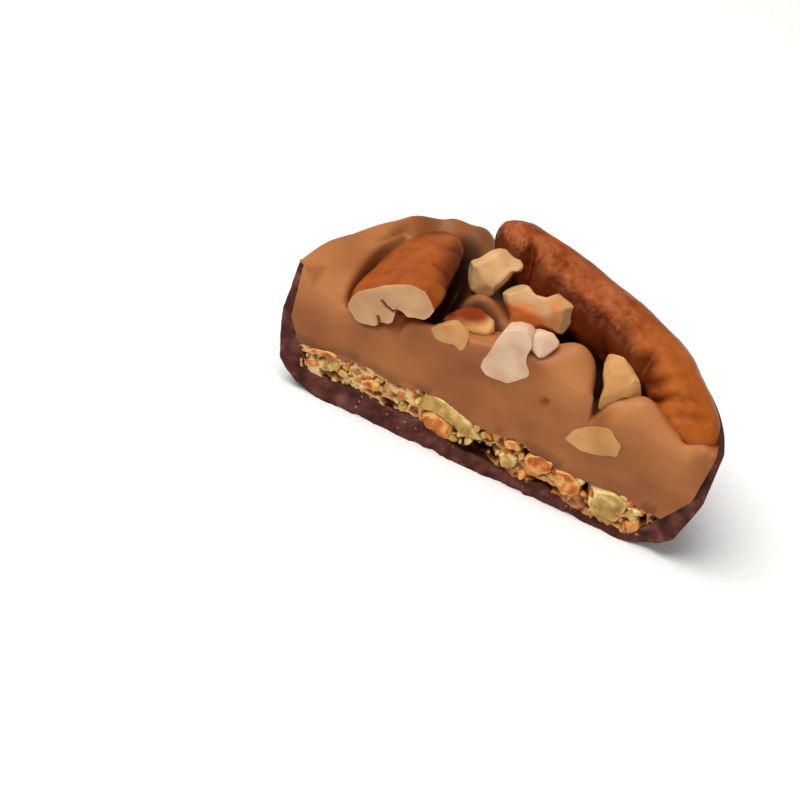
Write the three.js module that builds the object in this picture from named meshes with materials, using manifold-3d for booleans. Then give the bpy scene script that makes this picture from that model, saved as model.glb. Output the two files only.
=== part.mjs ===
// One half of a cup-shaped nut chocolate, cut upright and standing on its base.
// Millimetres. X runs along the cut, Y from the cut face at y = 0 to the round back, Z is up.
import * as THREE from 'three';
import { mergeVertices } from 'three/addons/utils/BufferGeometryUtils.js';
import Module from 'manifold-3d';

const wasm = await Module();
wasm.setup();

// ---- Driving dimensions ----
const rimRadius = 22.25;
const rimHeight = 13.4;
const kneeRadius = 22.4; // where the bevel round the base meets the upright wall
const kneeHeight = 7.0;
const baseRadius = 18.4; // inside the rounded corner of the base
const flatRadius = 16.5; // the part of the underside that lies on the table
const axisInFront = 3.0; // the cup's axis stands this far in front of the cut
const wallThickness = 1.1;
const rimThickness = 0.55;
const floorThin = 0.95; // thinnest chocolate under the crunch
const gap = 0.25; // between pieces that touch
const bankHeight = 2.6; // the filling's edge stands at most this far above the rim
const bankStart = 18.6; // from the cup's axis to where the edge of the filling begins
const bankEnd = 21.4;
const pecanHalfLength = 14.5;

// ---- Small helpers ----
const clamp = THREE.MathUtils.clamp;
const smooth = (from, to, x) => {
  const t = clamp((x - from) / (to - from), 0, 1);
  return t * t * (3 - 2 * t);
};
const mound = (x, y, cx, cy, rx, ry) => Math.exp(-(((x - cx) / rx) ** 2) - ((y - cy) / ry) ** 2);

// A line through stations [place, value], level beyond its ends
function lineThrough(stations) {
  return (place) => {
    let below = stations[0];
    for (const station of stations) {
      if (place <= station[0]) {
        const span = station[0] - below[0] || 1;
        return below[1] + ((station[1] - below[1]) * (place - below[0])) / span;
      }
      below = station;
    }
    return below[1];
  };
}

// The cup's profile, as [height, radius]
const outerRadius = lineThrough([
  [0, flatRadius],
  [0.35, baseRadius - 0.2],
  [1.3, baseRadius + 1.4],
  [2.5, baseRadius + 2.8],
  [kneeHeight - 0.4, kneeRadius - 0.2],
  [kneeHeight + 0.4, kneeRadius],
  [rimHeight, rimRadius],
]);
const innerRadius = lineThrough([
  [floorThin, baseRadius - 1.2],
  [kneeHeight + 0.4, kneeRadius - wallThickness],
  [rimHeight, rimRadius - rimThickness],
]);

// ---- Layers, as heights along the cut ----
const floorTop = lineThrough([
  [-19, 2.5], [-15, 3], [-12, 2.5], [-7, 2.8], [-4, 2], [-1, 1.6], [3, 1.7], [6, 1.2], [9.5, 2],
  [12.5, 1.2], [16, 0.95], [18, 1],
]);
const crunchLine = lineThrough([
  [-20, 5.3], [-17, 5.2], [-14, 6], [-11, 5.5], [-6, 6.1], [-3, 5.9], [0, 5.1], [4, 5.5], [6, 4.9],
  [11, 4.5], [15, 4.8], [20, 4.4],
]);
const crunchTop = (x, y) => crunchLine(x) + 0.15 * Math.sin(1.3 * y);

// Top edge of the filling at the cut
const edgeLine = lineThrough([
  [-22, 13.6], [-20.9, 12.9], [-18.2, 12.3], [-16.6, 11.7], [-15.4, 10.6], [-13.2, 10.4],
  [-11.2, 10.6], [-10.3, 12.3], [-7.4, 13.3], [-6.2, 13.9], [-4.2, 13.4], [0, 14.4], [2.6, 14.5],
  [6, 15.1], [8, 14.5], [9, 13.7], [9.5, 11.2], [10.5, 12.8], [13, 14.4], [16, 13.8], [20.2, 13.1],
  [21.5, 13.6],
]);

// Behind the cut: banks and humps round the nuts, each [height, x, y, rx, ry]
const hills = [
  [3, -12.2, 16, 3.8, 3], // over the back end of the cut pecan
  [1.4, -8.5, 17, 1.6, 2.2], // beside it
  [-1.6, -12.3, 6, 2.6, 6], // trough that it lies in
  [1.3, -5.2, 7.2, 1.8, 2],
  [1.6, 0, 1, 3.2, 3],
  [3.4, 5.7, 2.6, 3, 3], // round dome right of the middle
  [1.3, 13.4, 0.5, 2.6, 3.5],
];

// Valleys along a line of points [x, y]
const valleys = [
  { depth: 2.2, width: 0.7, path: [[-16.5, 0.5], [-16.6, 4], [-16.1, 8], [-14.8, 12], [-13.6, 14]] },
  { depth: 3.8, width: 1.2, path: [[-7.9, 2.2], [-8.3, 5], [-8.7, 9], [-9, 13.5]] },
  { depth: 2.8, width: 0.9, path: [[-7.6, 4.6], [-5.6, 5.6], [-3.4, 5.4]] },
  { depth: 3.8, width: 1.6, path: [[-2.8, 13.8], [0.5, 12.4], [4.2, 9.4], [8, 8.2], [12.2, 5.6]] },
  { depth: 3.2, width: 0.8, path: [[9.5, 0.5], [9.3, 2.5], [8.8, 4.5], [8.4, 7.5]] },
];

function distanceToPath(x, y, path) {
  let nearest = Infinity;
  for (let i = 1; i < path.length; i += 1) {
    const [ax, ay] = path[i - 1];
    const [runX, runY] = [path[i][0] - ax, path[i][1] - ay];
    const share = clamp(((x - ax) * runX + (y - ay) * runY) / (runX ** 2 + runY ** 2), 0, 1);
    nearest = Math.min(nearest, Math.hypot(x - ax - share * runX, y - ay - share * runY));
  }
  return nearest;
}

function fillingTop(x, y) {
  const leftBank = smooth(-12.5, -16, x) * (0.25 * y - 0.7);
  const rightBank = 0.6 * smooth(10, 14, x);
  let z = 12.9 + leftBank + rightBank;
  for (const [height, cx, cy, rx, ry] of hills) z += height * mound(x, y, cx, cy, rx, ry);
  for (const { depth, width, path } of valleys) {
    z -= depth * Math.exp(-((distanceToPath(x, y, path) / width) ** 2));
  }
  z = THREE.MathUtils.lerp(z, edgeLine(x), smooth(2.4, 0.2, y));
  const lowest = rimHeight + 0.1 + 0.6 * smooth(-8, -15, x) * smooth(0.5, 4, y);
  const bank = clamp(z, lowest, rimHeight + bankHeight);
  const edge = smooth(bankStart, bankEnd, Math.hypot(x, y + axisInFront));
  const fromEnds = 3 * smooth(20, 21.5, Math.abs(x));
  return THREE.MathUtils.lerp(z, bank, edge * smooth(-0.1, 1.5, y + fromEnds));
}

// Crags of the crunch on the cut: how far each spot lies behind the cut face
function crag(x, z) {
  const coarse = Math.sin(2.1 * x + 0.9 * z) * Math.sin(1.7 * z - 0.8 * x + 1);
  const fine = Math.sin(4.3 * x + 2 * z) * Math.sin(3.9 * z + 1.1 * x);
  return 0.55 + 0.35 * coarse + 0.2 * fine;
}

// ---- Solids ----
function toSolid(geometry) {
  const bare = geometry.clone();
  for (const name of Object.keys(bare.attributes)) {
    if (name !== 'position') bare.deleteAttribute(name);
  }
  const merged = mergeVertices(bare, 1e-4);
  const mesh = new wasm.Mesh({
    numProp: 3,
    vertProperties: new Float32Array(merged.attributes.position.array),
    triVerts: new Uint32Array(merged.index.array),
  });
  mesh.merge();
  return new wasm.Manifold(mesh);
}

function toGeometry(solid) {
  const mesh = solid.getMesh();
  const geometry = new THREE.BufferGeometry();
  geometry.setAttribute('position', new THREE.BufferAttribute(mesh.vertProperties, 3));
  geometry.setIndex(new THREE.BufferAttribute(mesh.triVerts, 1));
  return geometry;
}

// The largest of the bodies that a cut leaves
function largestBody(solid) {
  const bodies = solid.decompose();
  return bodies.reduce((best, body) => (body.volume() > best.volume() ? body : best));
}

// A block bent to the half cup's plan: the front edge lies on the cut, the rest on the arc.
// radius(z), low(x, y), high(x, y) and front(x, z) give its surfaces, and levels the heights
// of its rows of points as shares of the way from low to high.
function halfCupBlock({ radius, low, high, front = () => 0, levels, steps }) {
  const rows = levels.length - 1;
  const geometry = new THREE.BoxGeometry(2, 1, 1, ...steps, rows);
  const position = geometry.attributes.position;
  const halfChord = (r) => Math.sqrt(r * r - axisInFront * axisInFront);
  const backOf = (r, x) => Math.sqrt(Math.max(r * r - x * x, axisInFront * axisInFront)) - axisInFront;
  for (let i = 0; i < position.count; i += 1) {
    const u = position.getX(i);
    const v = position.getY(i) + 0.5;
    const level = levels[Math.round((position.getZ(i) + 0.5) * rows)];
    const across = u * Math.sqrt(1 - (v * v) / 2);
    const deep = v * Math.sqrt(1 - (u * u) / 2);
    const share = deep === 0 ? 0 : Math.min(1, deep / Math.sqrt(1 - across * across));
    const planX = across * halfChord(rimRadius);
    const planY = share * backOf(rimRadius, planX);
    const z = THREE.MathUtils.lerp(low(planX, planY), high(planX, planY), level);
    const x = across * halfChord(radius(z));
    const back = backOf(radius(z), x);
    const start = Math.min(front(x, z), 0.5 * back);
    position.setXYZ(i, x, start + share * (back - start), z);
  }
  return toSolid(geometry);
}

// Everything in front of the cut
function frontBlock() {
  const geometry = new THREE.BoxGeometry(80, 40, 60);
  geometry.translate(0, -20, 0);
  return toSolid(geometry);
}

function makeShell() {
  const heights = [0, 0.35, 1.3, 2.5, kneeHeight - 0.4, kneeHeight + 0.4, 10.4, rimHeight];
  const body = halfCupBlock({
    radius: outerRadius,
    low: () => 0,
    high: () => rimHeight,
    levels: heights.map((height) => height / rimHeight),
    steps: [28, 4],
  });
  const hollow = halfCupBlock({
    radius: innerRadius,
    low: floorTop,
    high: () => rimHeight + 2,
    front: () => -2,
    levels: [0, 0.18, 0.36, 0.45, 0.7, 1],
    steps: [56, 4],
  });
  return body.subtract(hollow);
}

// The shell grown by the gap, as a ring open to above
function shellGuard() {
  const body = halfCupBlock({
    radius: (z) => outerRadius(z) + 1,
    low: () => 0,
    high: () => rimHeight + gap,
    levels: [0, 0.5, 1],
    steps: [28, 4],
  });
  const hollow = halfCupBlock({
    radius: (z) => innerRadius(z) - gap,
    low: () => -1,
    high: () => rimHeight + 2,
    front: () => -2,
    levels: [0, 0.15, 0.53, 0.93, 1],
    steps: [56, 4],
  });
  return body.subtract(hollow);
}

// Pistachio and candied fruit that show at the cut: [x, z, half length, half height, turn]
const bits = [
  [-16.9, 4.1, 1.2, 0.6, 0.2],
  [-11.8, 4, 1.2, 0.6, -0.2],
  [-3.4, 4.8, 3.6, 0.8, 0.25],
  [-4.2, 3.1, 1.8, 1, 0.1],
  [3.3, 2.9, 1.1, 0.8, 0.2],
  [6.5, 3.6, 1, 1, 0],
  [9.3, 3.3, 1.5, 1.2, 0],
  [14, 2.9, 2, 1.5, 0],
  [16.9, 2.3, 0.8, 0.9, 0],
];
const bitDepth = 0.9;

function makeCrunch() {
  const room = {
    radius: (z) => innerRadius(z) - gap,
    low: (x) => floorTop(x) + gap,
    high: (x, y) => crunchTop(x, y) - gap,
    levels: [0, 0.25, 0.5, 0.75, 1],
    steps: [56, 5],
  };
  const bitSolids = bits.map(([x, z, long, tall, turn]) => {
    const bit = new THREE.IcosahedronGeometry(1, 1);
    bit.scale(long, bitDepth, tall);
    bit.rotateY(turn);
    bit.translate(x, bitDepth + 0.05, z);
    return toSolid(bit);
  });
  const loose = bitSolids.reduce((joined, bit) => joined.add(bit));
  const kept = loose.intersect(halfCupBlock(room));
  return largestBody(halfCupBlock({ ...room, front: crag }).add(kept));
}

function makeFilling(nuts) {
  let filling = halfCupBlock({
    radius: (z) => innerRadius(z) - gap,
    low: (x, y) => crunchTop(x, y) + gap,
    high: fillingTop,
    levels: [0, 0.3, 0.65, 1],
    steps: [56, 10],
  });
  for (const nut of nuts) filling = filling.subtract(nut.grown);
  return largestBody(filling);
}

// A pecan half along +Y, crown up, cleft below; grow widens it all round
function pecanGeometry({ halfWidth, crown, belly, blunt, lobes, phase }, steps, grow = 0) {
  const geometry = new THREE.SphereGeometry(1, ...steps);
  const position = geometry.attributes.position;
  for (let i = 0; i < position.count; i += 1) {
    const along = position.getY(i);
    const angle = Math.atan2(position.getZ(i), position.getX(i));
    const pole = Math.abs(along) > 0.9999;
    const taper = pole ? 0 : Math.sqrt(1 - Math.abs(along) ** blunt[along < 0 ? 0 : 1]);
    const side = pole ? 0 : Math.cos(angle);
    const up = pole ? 0 : Math.sin(angle);
    const lobe = 1 + 0.06 * Math.sin(lobes * Math.PI * along + phase) * side * side;
    const tall = up > 0 ? crown : belly * (1 - 0.62 * Math.exp(-((side / 0.28) ** 2)));
    position.setXYZ(
      i,
      (halfWidth + grow) * taper * lobe * side,
      (pecanHalfLength + grow) * along,
      (tall + grow) * taper * up,
    );
  }
  return geometry;
}

// Both shells of a pecan: itself, and one grown by the gap that cuts its bed in the filling
function pecan(name, shape, steps, place) {
  const kept = frontBlock().add(shellGuard());
  const make = (grow) => toSolid(place(pecanGeometry(shape, steps, grow)));
  return { name, solid: make(0).subtract(kept), grown: make(gap) };
}

// Cut across its middle: its right side lies higher, and it climbs towards the back
const cutPecan = {
  halfWidth: 4.6, crown: 2.3, belly: 2.2, blunt: [2.6, 2.6], lobes: 3, phase: 0.5,
  middle: [-12.3, 0, 13.4], roll: -0.5, climb: 0.06,
};

function placeCutPecan(geometry) {
  geometry.rotateY(cutPecan.roll);
  geometry.rotateX(cutPecan.climb);
  geometry.translate(...cutPecan.middle);
  return geometry;
}

// Whole, bent along the back rim. Its middle line is a cubic curve from the left end (-1) to the
// right end (1), with the constant first.
const backPecan = {
  halfWidth: 4.2, crown: 3.4, belly: 2.5, blunt: [4.4, 3.1], lobes: 5, phase: 1.2,
  x: [6.06, 14.66, 0.66, -0.72], y: [11.32, -5.8, -3.43, -0.59], z: [14.73, -1.23, 0.05, -1.47],
};
const cubic = ([a, b, c, d], s) => a + s * (b + s * (c + s * d));
const cubicSlope = ([, b, c, d], s) => b + s * (2 * c + s * 3 * d);

function placeBackPecan(geometry) {
  const { x, y, z } = backPecan;
  const position = geometry.attributes.position;
  for (let i = 0; i < position.count; i += 1) {
    const s = position.getY(i) / pecanHalfLength;
    const [runX, runY] = [cubicSlope(x, s), cubicSlope(y, s)];
    const side = position.getX(i) / Math.hypot(runX, runY);
    const height = cubic(z, s) + position.getZ(i);
    position.setXYZ(i, cubic(x, s) + side * runY, cubic(y, s) - side * runX, height);
  }
  return geometry;
}

// Chopped nuts: outline of the shown face (along, up it), its middle, how far it leans back, depth
const chunks = {
  nut_a: { at: [-5.47, 8.3, 16.5], lean: 35, depth: 4.2,
    outline: [[2.1, 2.2], [2.6, 1.1], [1.2, -1.2], [0.8, -2.3], [-0.6, -2.7], [-1.9, -2.2], [-2.7, -0.2],
      [-1.1, 1.8], [0.2, 2.6]] },
  nut_b: { at: [0.1, 6.8, 15.5], lean: 35, depth: 3.8,
    outline: [[-3.9, 0.4], [-2.9, 1.8], [-0.9, 1.4], [0.4, 1.5], [1.7, 2.9], [3.6, 1.4], [2.9, -1.3],
      [1, -1.3], [-2.1, -2.6], [-2.5, -1.5]] },
  nut_c: { at: [-0.1, 0, 13.5], lean: 0, depth: 4,
    outline: [[0.7, 3.3], [1.8, 1.9], [1.7, 0.3], [2.5, -0.9], [0.7, -2.7], [-1.3, -2.9], [-2.1, -2.1],
      [-1.3, 2.5]] },
  nut_d: { at: [2.6, 0.8, 16], lean: 30, depth: 3,
    outline: [[-1.3, 1.2], [0.2, 1.3], [1.2, 0.6], [0.9, -0.5], [0, -1.6], [-1.5, -0.8], [-1.9, 0.4]] },
  nut_e: { at: [10.2, 1.5, 15.2], lean: 30, depth: 3.2,
    outline: [[-1, 2.4], [1.7, 1], [2.7, -0.8], [1.1, -1.1], [-0.5, -3.4], [-1.9, 0.8], [-2.1, 2]] },
  nut_f: { at: [10.6, 0, 8.6], lean: 0, depth: 3,
    outline: [[-2.8, -0.7], [-1.6, 1.4], [0.6, 2.5], [2.4, 1.3], [2.4, -0.1], [1.1, -0.7], [-1.1, -1.1]] },
  nut_g: { at: [-4.9, 2.3, 14.3], lean: 55, depth: 1.8,
    outline: [[-3.1, -0.4], [-0.7, 1.3], [1.3, 1.8], [2.4, -0.1], [2, -1.1], [-0.1, -1.3], [-2.7, -1.2]] },
  nut_h: { at: [-5.8, 0, 13.2], lean: 0, depth: 2.2,
    outline: [[-2.2, -0.4], [-0.5, 1.1], [1.6, 0.3], [1.4, -1.2], [-1.5, -1.3]] },
};
const chunkBevel = 0.45;

function chunkSolid({ at, lean, depth, outline }, grow) {
  const shape = new THREE.Shape(outline.map(([a, b]) => new THREE.Vector2(a, b)));
  const geometry = new THREE.ExtrudeGeometry(shape, {
    depth: depth - 2 * chunkBevel + 2 * grow,
    bevelThickness: chunkBevel,
    bevelSize: chunkBevel,
    bevelOffset: grow - chunkBevel,
    bevelSegments: 2,
  });
  geometry.translate(0, 0, chunkBevel - depth - grow);
  geometry.rotateX(Math.PI / 2 - THREE.MathUtils.degToRad(lean));
  geometry.translate(...at);
  // a chunk on the cut starts in front of it, so that its cut face is flat
  if (at[1] === 0) geometry.translate(0, -2 * chunkBevel, 0);
  return toSolid(geometry);
}

function makeChunks(others) {
  const front = frontBlock();
  const made = [...others];
  for (const [name, chunk] of Object.entries(chunks)) {
    let solid = chunkSolid(chunk, 0).subtract(front);
    for (const other of made) solid = solid.subtract(other.grown);
    made.push({ name, solid: largestBody(solid), grown: chunkSolid(chunk, gap) });
  }
  return made;
}

// ---- The half chocolate ----
const finishes = {
  shell: { color: 0x4a2420, roughness: 0.45 },
  crunch: { color: 0x9a7a3c, roughness: 0.7 },
  filling: { color: 0xa5693f, roughness: 0.5 },
  pecan: { color: 0x9a4f20, roughness: 0.5 },
  nut: { color: 0xd7aa78, roughness: 0.6 },
};

function addMesh(group, name, solid, finish) {
  const material = new THREE.MeshStandardMaterial({ ...finish, metalness: 0 });
  const mesh = new THREE.Mesh(toGeometry(solid), material);
  mesh.name = name;
  group.add(mesh);
}

const pecans = [
  pecan('pecan_cut', cutPecan, [28, 20], placeCutPecan),
  pecan('pecan_back', backPecan, [28, 30], placeBackPecan),
];
const nuts = makeChunks(pecans);
const pieces = new THREE.Group();
addMesh(pieces, 'shell', makeShell(), finishes.shell);
addMesh(pieces, 'crunch', makeCrunch(), finishes.crunch);
addMesh(pieces, 'filling', makeFilling(nuts), finishes.filling);
for (const { name, solid } of nuts) {
  addMesh(pieces, name, solid, name.startsWith('pecan') ? finishes.pecan : finishes.nut);
}

// The origin is the middle of the underside of the whole half's box
const box = new THREE.Box3().setFromObject(pieces);
const middle = box.getCenter(new THREE.Vector3());
pieces.position.set(-middle.x, -middle.y, -box.min.z);
const nutChocolate = new THREE.Group();
nutChocolate.add(pieces);

export default nutChocolate;
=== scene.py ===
# Half of a cup-shaped nut chocolate: shell, crunch, filling, two pecan halves and chopped nuts.
# Shapes are worked out in millimetres with the cut face at y = 0, then put into the frame.
import math
import bpy
import bmesh
import numpy as np
from mathutils import Matrix, Vector, noise


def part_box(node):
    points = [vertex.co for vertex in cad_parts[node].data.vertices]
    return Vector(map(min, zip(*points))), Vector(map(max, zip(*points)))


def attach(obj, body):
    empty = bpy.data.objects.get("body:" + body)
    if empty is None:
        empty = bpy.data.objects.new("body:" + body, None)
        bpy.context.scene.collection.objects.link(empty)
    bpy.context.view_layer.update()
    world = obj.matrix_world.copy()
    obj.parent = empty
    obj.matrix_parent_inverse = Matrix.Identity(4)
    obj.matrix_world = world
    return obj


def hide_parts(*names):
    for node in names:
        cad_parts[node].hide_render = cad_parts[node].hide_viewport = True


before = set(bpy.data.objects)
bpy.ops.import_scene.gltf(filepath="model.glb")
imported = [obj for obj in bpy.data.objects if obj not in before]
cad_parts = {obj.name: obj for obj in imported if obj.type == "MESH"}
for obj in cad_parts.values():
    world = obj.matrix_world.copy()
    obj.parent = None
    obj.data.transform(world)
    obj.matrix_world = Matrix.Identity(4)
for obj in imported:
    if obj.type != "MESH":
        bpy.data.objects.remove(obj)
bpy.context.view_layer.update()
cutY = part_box("shell")[0].y   # the cut face in the frame, metres
print("frame loaded, cut face at", round(cutY * 1000, 2), "mm")

# the cup's own sizes, as moulded
cup = {
    "rimRadius": 22.25, "rimHeight": 13.4, "kneeRadius": 22.4, "kneeHeight": 7.0,
    "baseRadius": 18.4, "flatRadius": 16.5, "axisInFront": 3.0,
    "wallThickness": 1.1, "rimThickness": 0.55, "floorThin": 0.95,
}


# numbers and noise

def smooth(start, end, x):
    t = np.clip((x - start) / (end - start), 0, 1)
    return t * t * (3 - 2 * t)


def mound(x, y, cx, cy, rx, ry):
    return np.exp(-((x - cx) / rx) ** 2 - ((y - cy) / ry) ** 2)


noiseTable = np.random.default_rng(11).uniform(-1, 1, (64, 64, 64))


def softNoise(points, size):
    # smooth noise from -1 to 1 with blobs about size millimetres wide (size may be one per axis)
    q = points / np.asarray(size, float)
    cell = np.floor(q).astype(int)
    f = q - cell
    f = f * f * (3 - 2 * f)
    total = np.zeros(len(points))
    for i in (0, 1):
        for j in (0, 1):
            for k in (0, 1):
                weight = abs(1 - i - f[:, 0]) * abs(1 - j - f[:, 1]) * abs(1 - k - f[:, 2])
                a, b, c = ((cell + (i, j, k)) & 63).T
                total += weight * noiseTable[a, b, c]
    return total


def roughNoise(points, size, octaves=3):
    # several sizes of soft noise on top of each other
    total, weight, share = 0, 0, 1.0
    for octave in range(octaves):
        total = total + share * softNoise(points + 17.3 * octave, np.asarray(size, float) / 2 ** octave)
        weight += share
        share *= 0.5
    return total / weight


def cellEdges(points, size):
    # 0 on the walls between irregular cells about size millimetres wide, rising to 1 inside them
    out = np.empty(len(points))
    for n, p in enumerate(points / size):
        distances = noise.voronoi(Vector(p))[0]
        out[n] = distances[1] - distances[0]
    return out


# meshes

def addObject(name, data):
    thing = bpy.data.objects.new(name, data)
    bpy.context.scene.collection.objects.link(thing)
    return thing


def applied(holder):
    # the holder's mesh with its modifier applied; the holder itself goes
    made = bpy.data.meshes.new_from_object(holder.evaluated_get(bpy.context.evaluated_depsgraph_get()))
    bpy.data.objects.remove(holder)
    return made


def makePiece(name, points, faces, attributes=None, uv=None):
    # points in millimetres, cut at y = 0; the object ends at the origin with its place in the mesh
    mesh = bpy.data.meshes.new(name)
    placed = np.asarray(points) * 0.001 + np.array([0, cutY, 0])
    mesh.from_pydata(placed.tolist(), [], faces.tolist() if isinstance(faces, np.ndarray) else faces)
    mesh.polygons.foreach_set("use_smooth", np.ones(len(mesh.polygons), bool))
    for key, values in (attributes or {}).items():
        layer = mesh.attributes.new(key, "FLOAT", "POINT")
        layer.data.foreach_set("value", np.asarray(values, np.float32))
    if uv is not None:
        corner = np.empty(len(mesh.loops), int)
        mesh.loops.foreach_get("vertex_index", corner)
        layer = mesh.uv_layers.new(name="along")
        layer.data.foreach_set("uv", np.asarray(uv, np.float32)[corner].ravel())
    mesh.update()
    return addObject(name, mesh)


def quads(grid):
    # faces of a grid of point numbers; they face along (first axis) x (second axis)
    return np.stack([grid[:-1, :-1], grid[1:, :-1], grid[1:, 1:], grid[:-1, 1:]], -1).reshape(-1, 4)


def readVectors(mesh, key="co"):
    flat = np.empty(len(mesh.vertices) * 3, np.float32)
    mesh.vertices.foreach_get(key, flat)
    return flat.reshape(-1, 3).astype(float)


def boxSurface(s, sides):
    # the named sides of a box lattice: shares u, v, w of each point, and the faces, all facing out
    us = np.linspace(-1, 1, s["across"] + 1)
    vs = np.linspace(0, 1, s["deep"] + 1) ** s["crowdedToCut"]
    ws = np.linspace(0, 1, s["upright"] + 1)
    if "crowdedToTop" in s:
        ws = 1 - (1 - ws) ** s["crowdedToTop"]
    shape = (len(us), len(vs), len(ws))
    number = -np.ones(shape, int)
    picked = {
        "left": (0, slice(None), slice(None)), "right": (-1, slice(None), slice(None)),
        "front": (slice(None), 0, slice(None)), "back": (slice(None), -1, slice(None)),
        "bottom": (slice(None), slice(None), 0), "top": (slice(None), slice(None), -1),
    }
    turned = {"left", "back", "bottom"}
    for side in sides:
        number[picked[side]] = 0
    used = np.argwhere(number == 0)
    number[tuple(used.T)] = np.arange(len(used))
    faces = []
    for side in sides:
        part = quads(number[picked[side]])
        faces.append(part[:, ::-1] if side in turned else part)
    share = np.stack([us[used[:, 0]], vs[used[:, 1]], ws[used[:, 2]]], 1)
    return share, np.concatenate(faces), number


def level(x, y):
    return 0 * x


def fromAxis(x, y):
    # distance from the whole cup's middle line
    return np.hypot(x, y + cup["axisInFront"])


def halfChord(radius):
    return np.sqrt(radius ** 2 - cup["axisInFront"] ** 2)


def backOf(radius, x):
    reach = np.maximum(radius ** 2 - x ** 2, cup["axisInFront"] ** 2)
    return np.sqrt(reach) - cup["axisInFront"]


def bendToHalfCup(share, radiusAt, low, high, front):
    # u across, v from the cut to the round back, w from low to high
    u, v, w = share.T
    across = u * np.sqrt(1 - v * v / 2)
    deep = v * np.sqrt(1 - u * u / 2)
    part = np.where(deep > 0, np.minimum(1, deep / np.sqrt(np.maximum(1 - across ** 2, 1e-9))), 0)
    planX = across * halfChord(cup["rimRadius"])
    planY = part * backOf(cup["rimRadius"], planX)
    bottom = low(planX, planY)
    z = bottom + (high(planX, planY) - bottom) * w
    radius = radiusAt(z)
    x = across * halfChord(radius)
    back = backOf(radius, x)
    start = np.minimum(front(x, z), 0.5 * back)
    return np.stack([x, start + part * (back - start), z], 1)


# the cup's profile and layers, as in the CAD part

outerStations = np.array([
    [0, cup["flatRadius"]], [0.35, cup["baseRadius"] - 0.2], [1.3, cup["baseRadius"] + 1.4],
    [2.5, cup["baseRadius"] + 2.8], [cup["kneeHeight"] - 0.4, cup["kneeRadius"] - 0.2],
    [cup["kneeHeight"] + 0.4, cup["kneeRadius"]], [cup["rimHeight"], cup["rimRadius"]],
])
innerStations = np.array([
    [cup["floorThin"], cup["baseRadius"] - 1.2],
    [cup["kneeHeight"] + 0.4, cup["kneeRadius"] - cup["wallThickness"]],
    [cup["rimHeight"], cup["rimRadius"] - cup["rimThickness"]],
])


def outerRadius(z):
    return np.interp(z, outerStations[:, 0], outerStations[:, 1])


def innerRadius(z):
    return np.interp(z, innerStations[:, 0], innerStations[:, 1])


# height of the chocolate under the crunch, and of the crunch, along the cut: [x, z]
floorLine = np.array([
    [-19, 2.5], [-15, 3.0], [-12, 2.5], [-7, 2.8], [-4, 2.0], [-1, 1.6], [3, 1.7], [6, 1.2],
    [9.5, 2.0], [12.5, 1.2], [16, 0.8], [18, 1.0],
])
crunchLine = np.array([
    [-20, 5.3], [-17, 5.2], [-14, 6.0], [-11, 5.5], [-6, 6.1], [-3, 5.9], [0, 5.1], [4, 5.5],
    [6, 4.9], [11, 4.5], [15, 4.8], [20, 4.4],
])


def floorTop(x):
    return np.interp(x, floorLine[:, 0], floorLine[:, 1])


def crunchTop(x, y):
    return np.interp(x, crunchLine[:, 0], crunchLine[:, 1]) + 0.15 * np.sin(1.3 * y)


# height of the filling along the cut: [x, z]
edgeLine = np.array([
    [-22, 13.7], [-20.9, 13.4], [-18.2, 12.45], [-16.6, 11.7], [-15.6, 10.8], [-14.6, 10.2],
    [-13.2, 10.4], [-12.6, 10.9], [-11.9, 10.8], [-11.2, 10.4], [-10.8, 11.6], [-10.3, 12.3],
    [-9, 12.8], [-7.4, 13.3], [-6.2, 13.9], [-4.2, 13.4], [-2.4, 13.8], [0, 14.4], [2.6, 14.5],
    [4, 14.9], [6, 15.1], [8, 14.5], [9, 13.7], [9.3, 12.4], [9.55, 11.2], [9.9, 11.7],
    [10.5, 12.8], [11.6, 13.9], [13, 14.4], [14.5, 14.3], [16, 13.8], [18, 13.4], [19.6, 13.2],
    [20.6, 13.2], [21.5, 13.1],
])
# behind the cut: banks and humps round the nuts, each [height, x, y, rx, ry]
hills = [
    [3.0, -12.2, 16, 3.8, 3.0],      # over the back end of the cut pecan
    [1.4, -8.5, 17, 1.6, 2.2],       # beside it, behind nut_a
    [-1.6, -12.3, 6, 2.6, 6],        # trough that it lies in
    [1.3, -5.2, 7.2, 1.8, 2.0],      # hump under nut_a
    [1.6, 0, 1, 3.2, 3],
    [3.4, 5.7, 2.6, 3.0, 3.0],       # round dome right of the middle
    [1.3, 13.4, 0.5, 2.6, 3.5],
]
# valleys along lines through points [x, y]; "dark" is how strong their painted shade is, and "shade" is how
# far past its width the painted shade reaches
valleys = [
    {"depth": 2.2, "width": 0.7, "dark": 0.55, "shade": 0.6,    # left of the cut pecan
     "path": [[-16.5, 0.5], [-16.6, 4], [-16.2, 8], [-15.3, 11]]},
    {"depth": 3.8, "width": 1.2, "dark": 1.0, "shade": 1.6,     # right of it
     "path": [[-7.9, 2.2], [-8.3, 5], [-8.7, 9], [-9.0, 13.5]]},
    {"depth": 2.8, "width": 0.9, "dark": 1.0, "shade": 1.5, "path": [[-7.6, 4.6], [-5.6, 5.6], [-3.4, 5.4]]},
    {"depth": 3.8, "width": 1.6, "dark": 1.0, "shade": 1.5,     # in front of the back pecan
     "path": [[-2.8, 13.8], [0.5, 12.4], [4.2, 9.4], [8.0, 8.2], [12.2, 5.6]]},
    {"depth": 3.2, "width": 0.8, "dark": 0.75, "shade": 1.2,    # right of the dome
     "path": [[9.5, 0.5], [9.3, 2.5], [8.8, 4.5], [8.4, 7.5]]},
    {"depth": 0.3, "width": 0.8, "dark": 0.45, "shade": 1.5, "path": [[12.2, 5.0], [15.3, 2.9], [18.6, 1.0]]},
    {"depth": 1.5, "width": 0.8, "dark": 1.0, "shade": 1.6, "path": [[18.9, 2.0], [20.3, 2.0], [21.0, 3.0]]},
]


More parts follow.
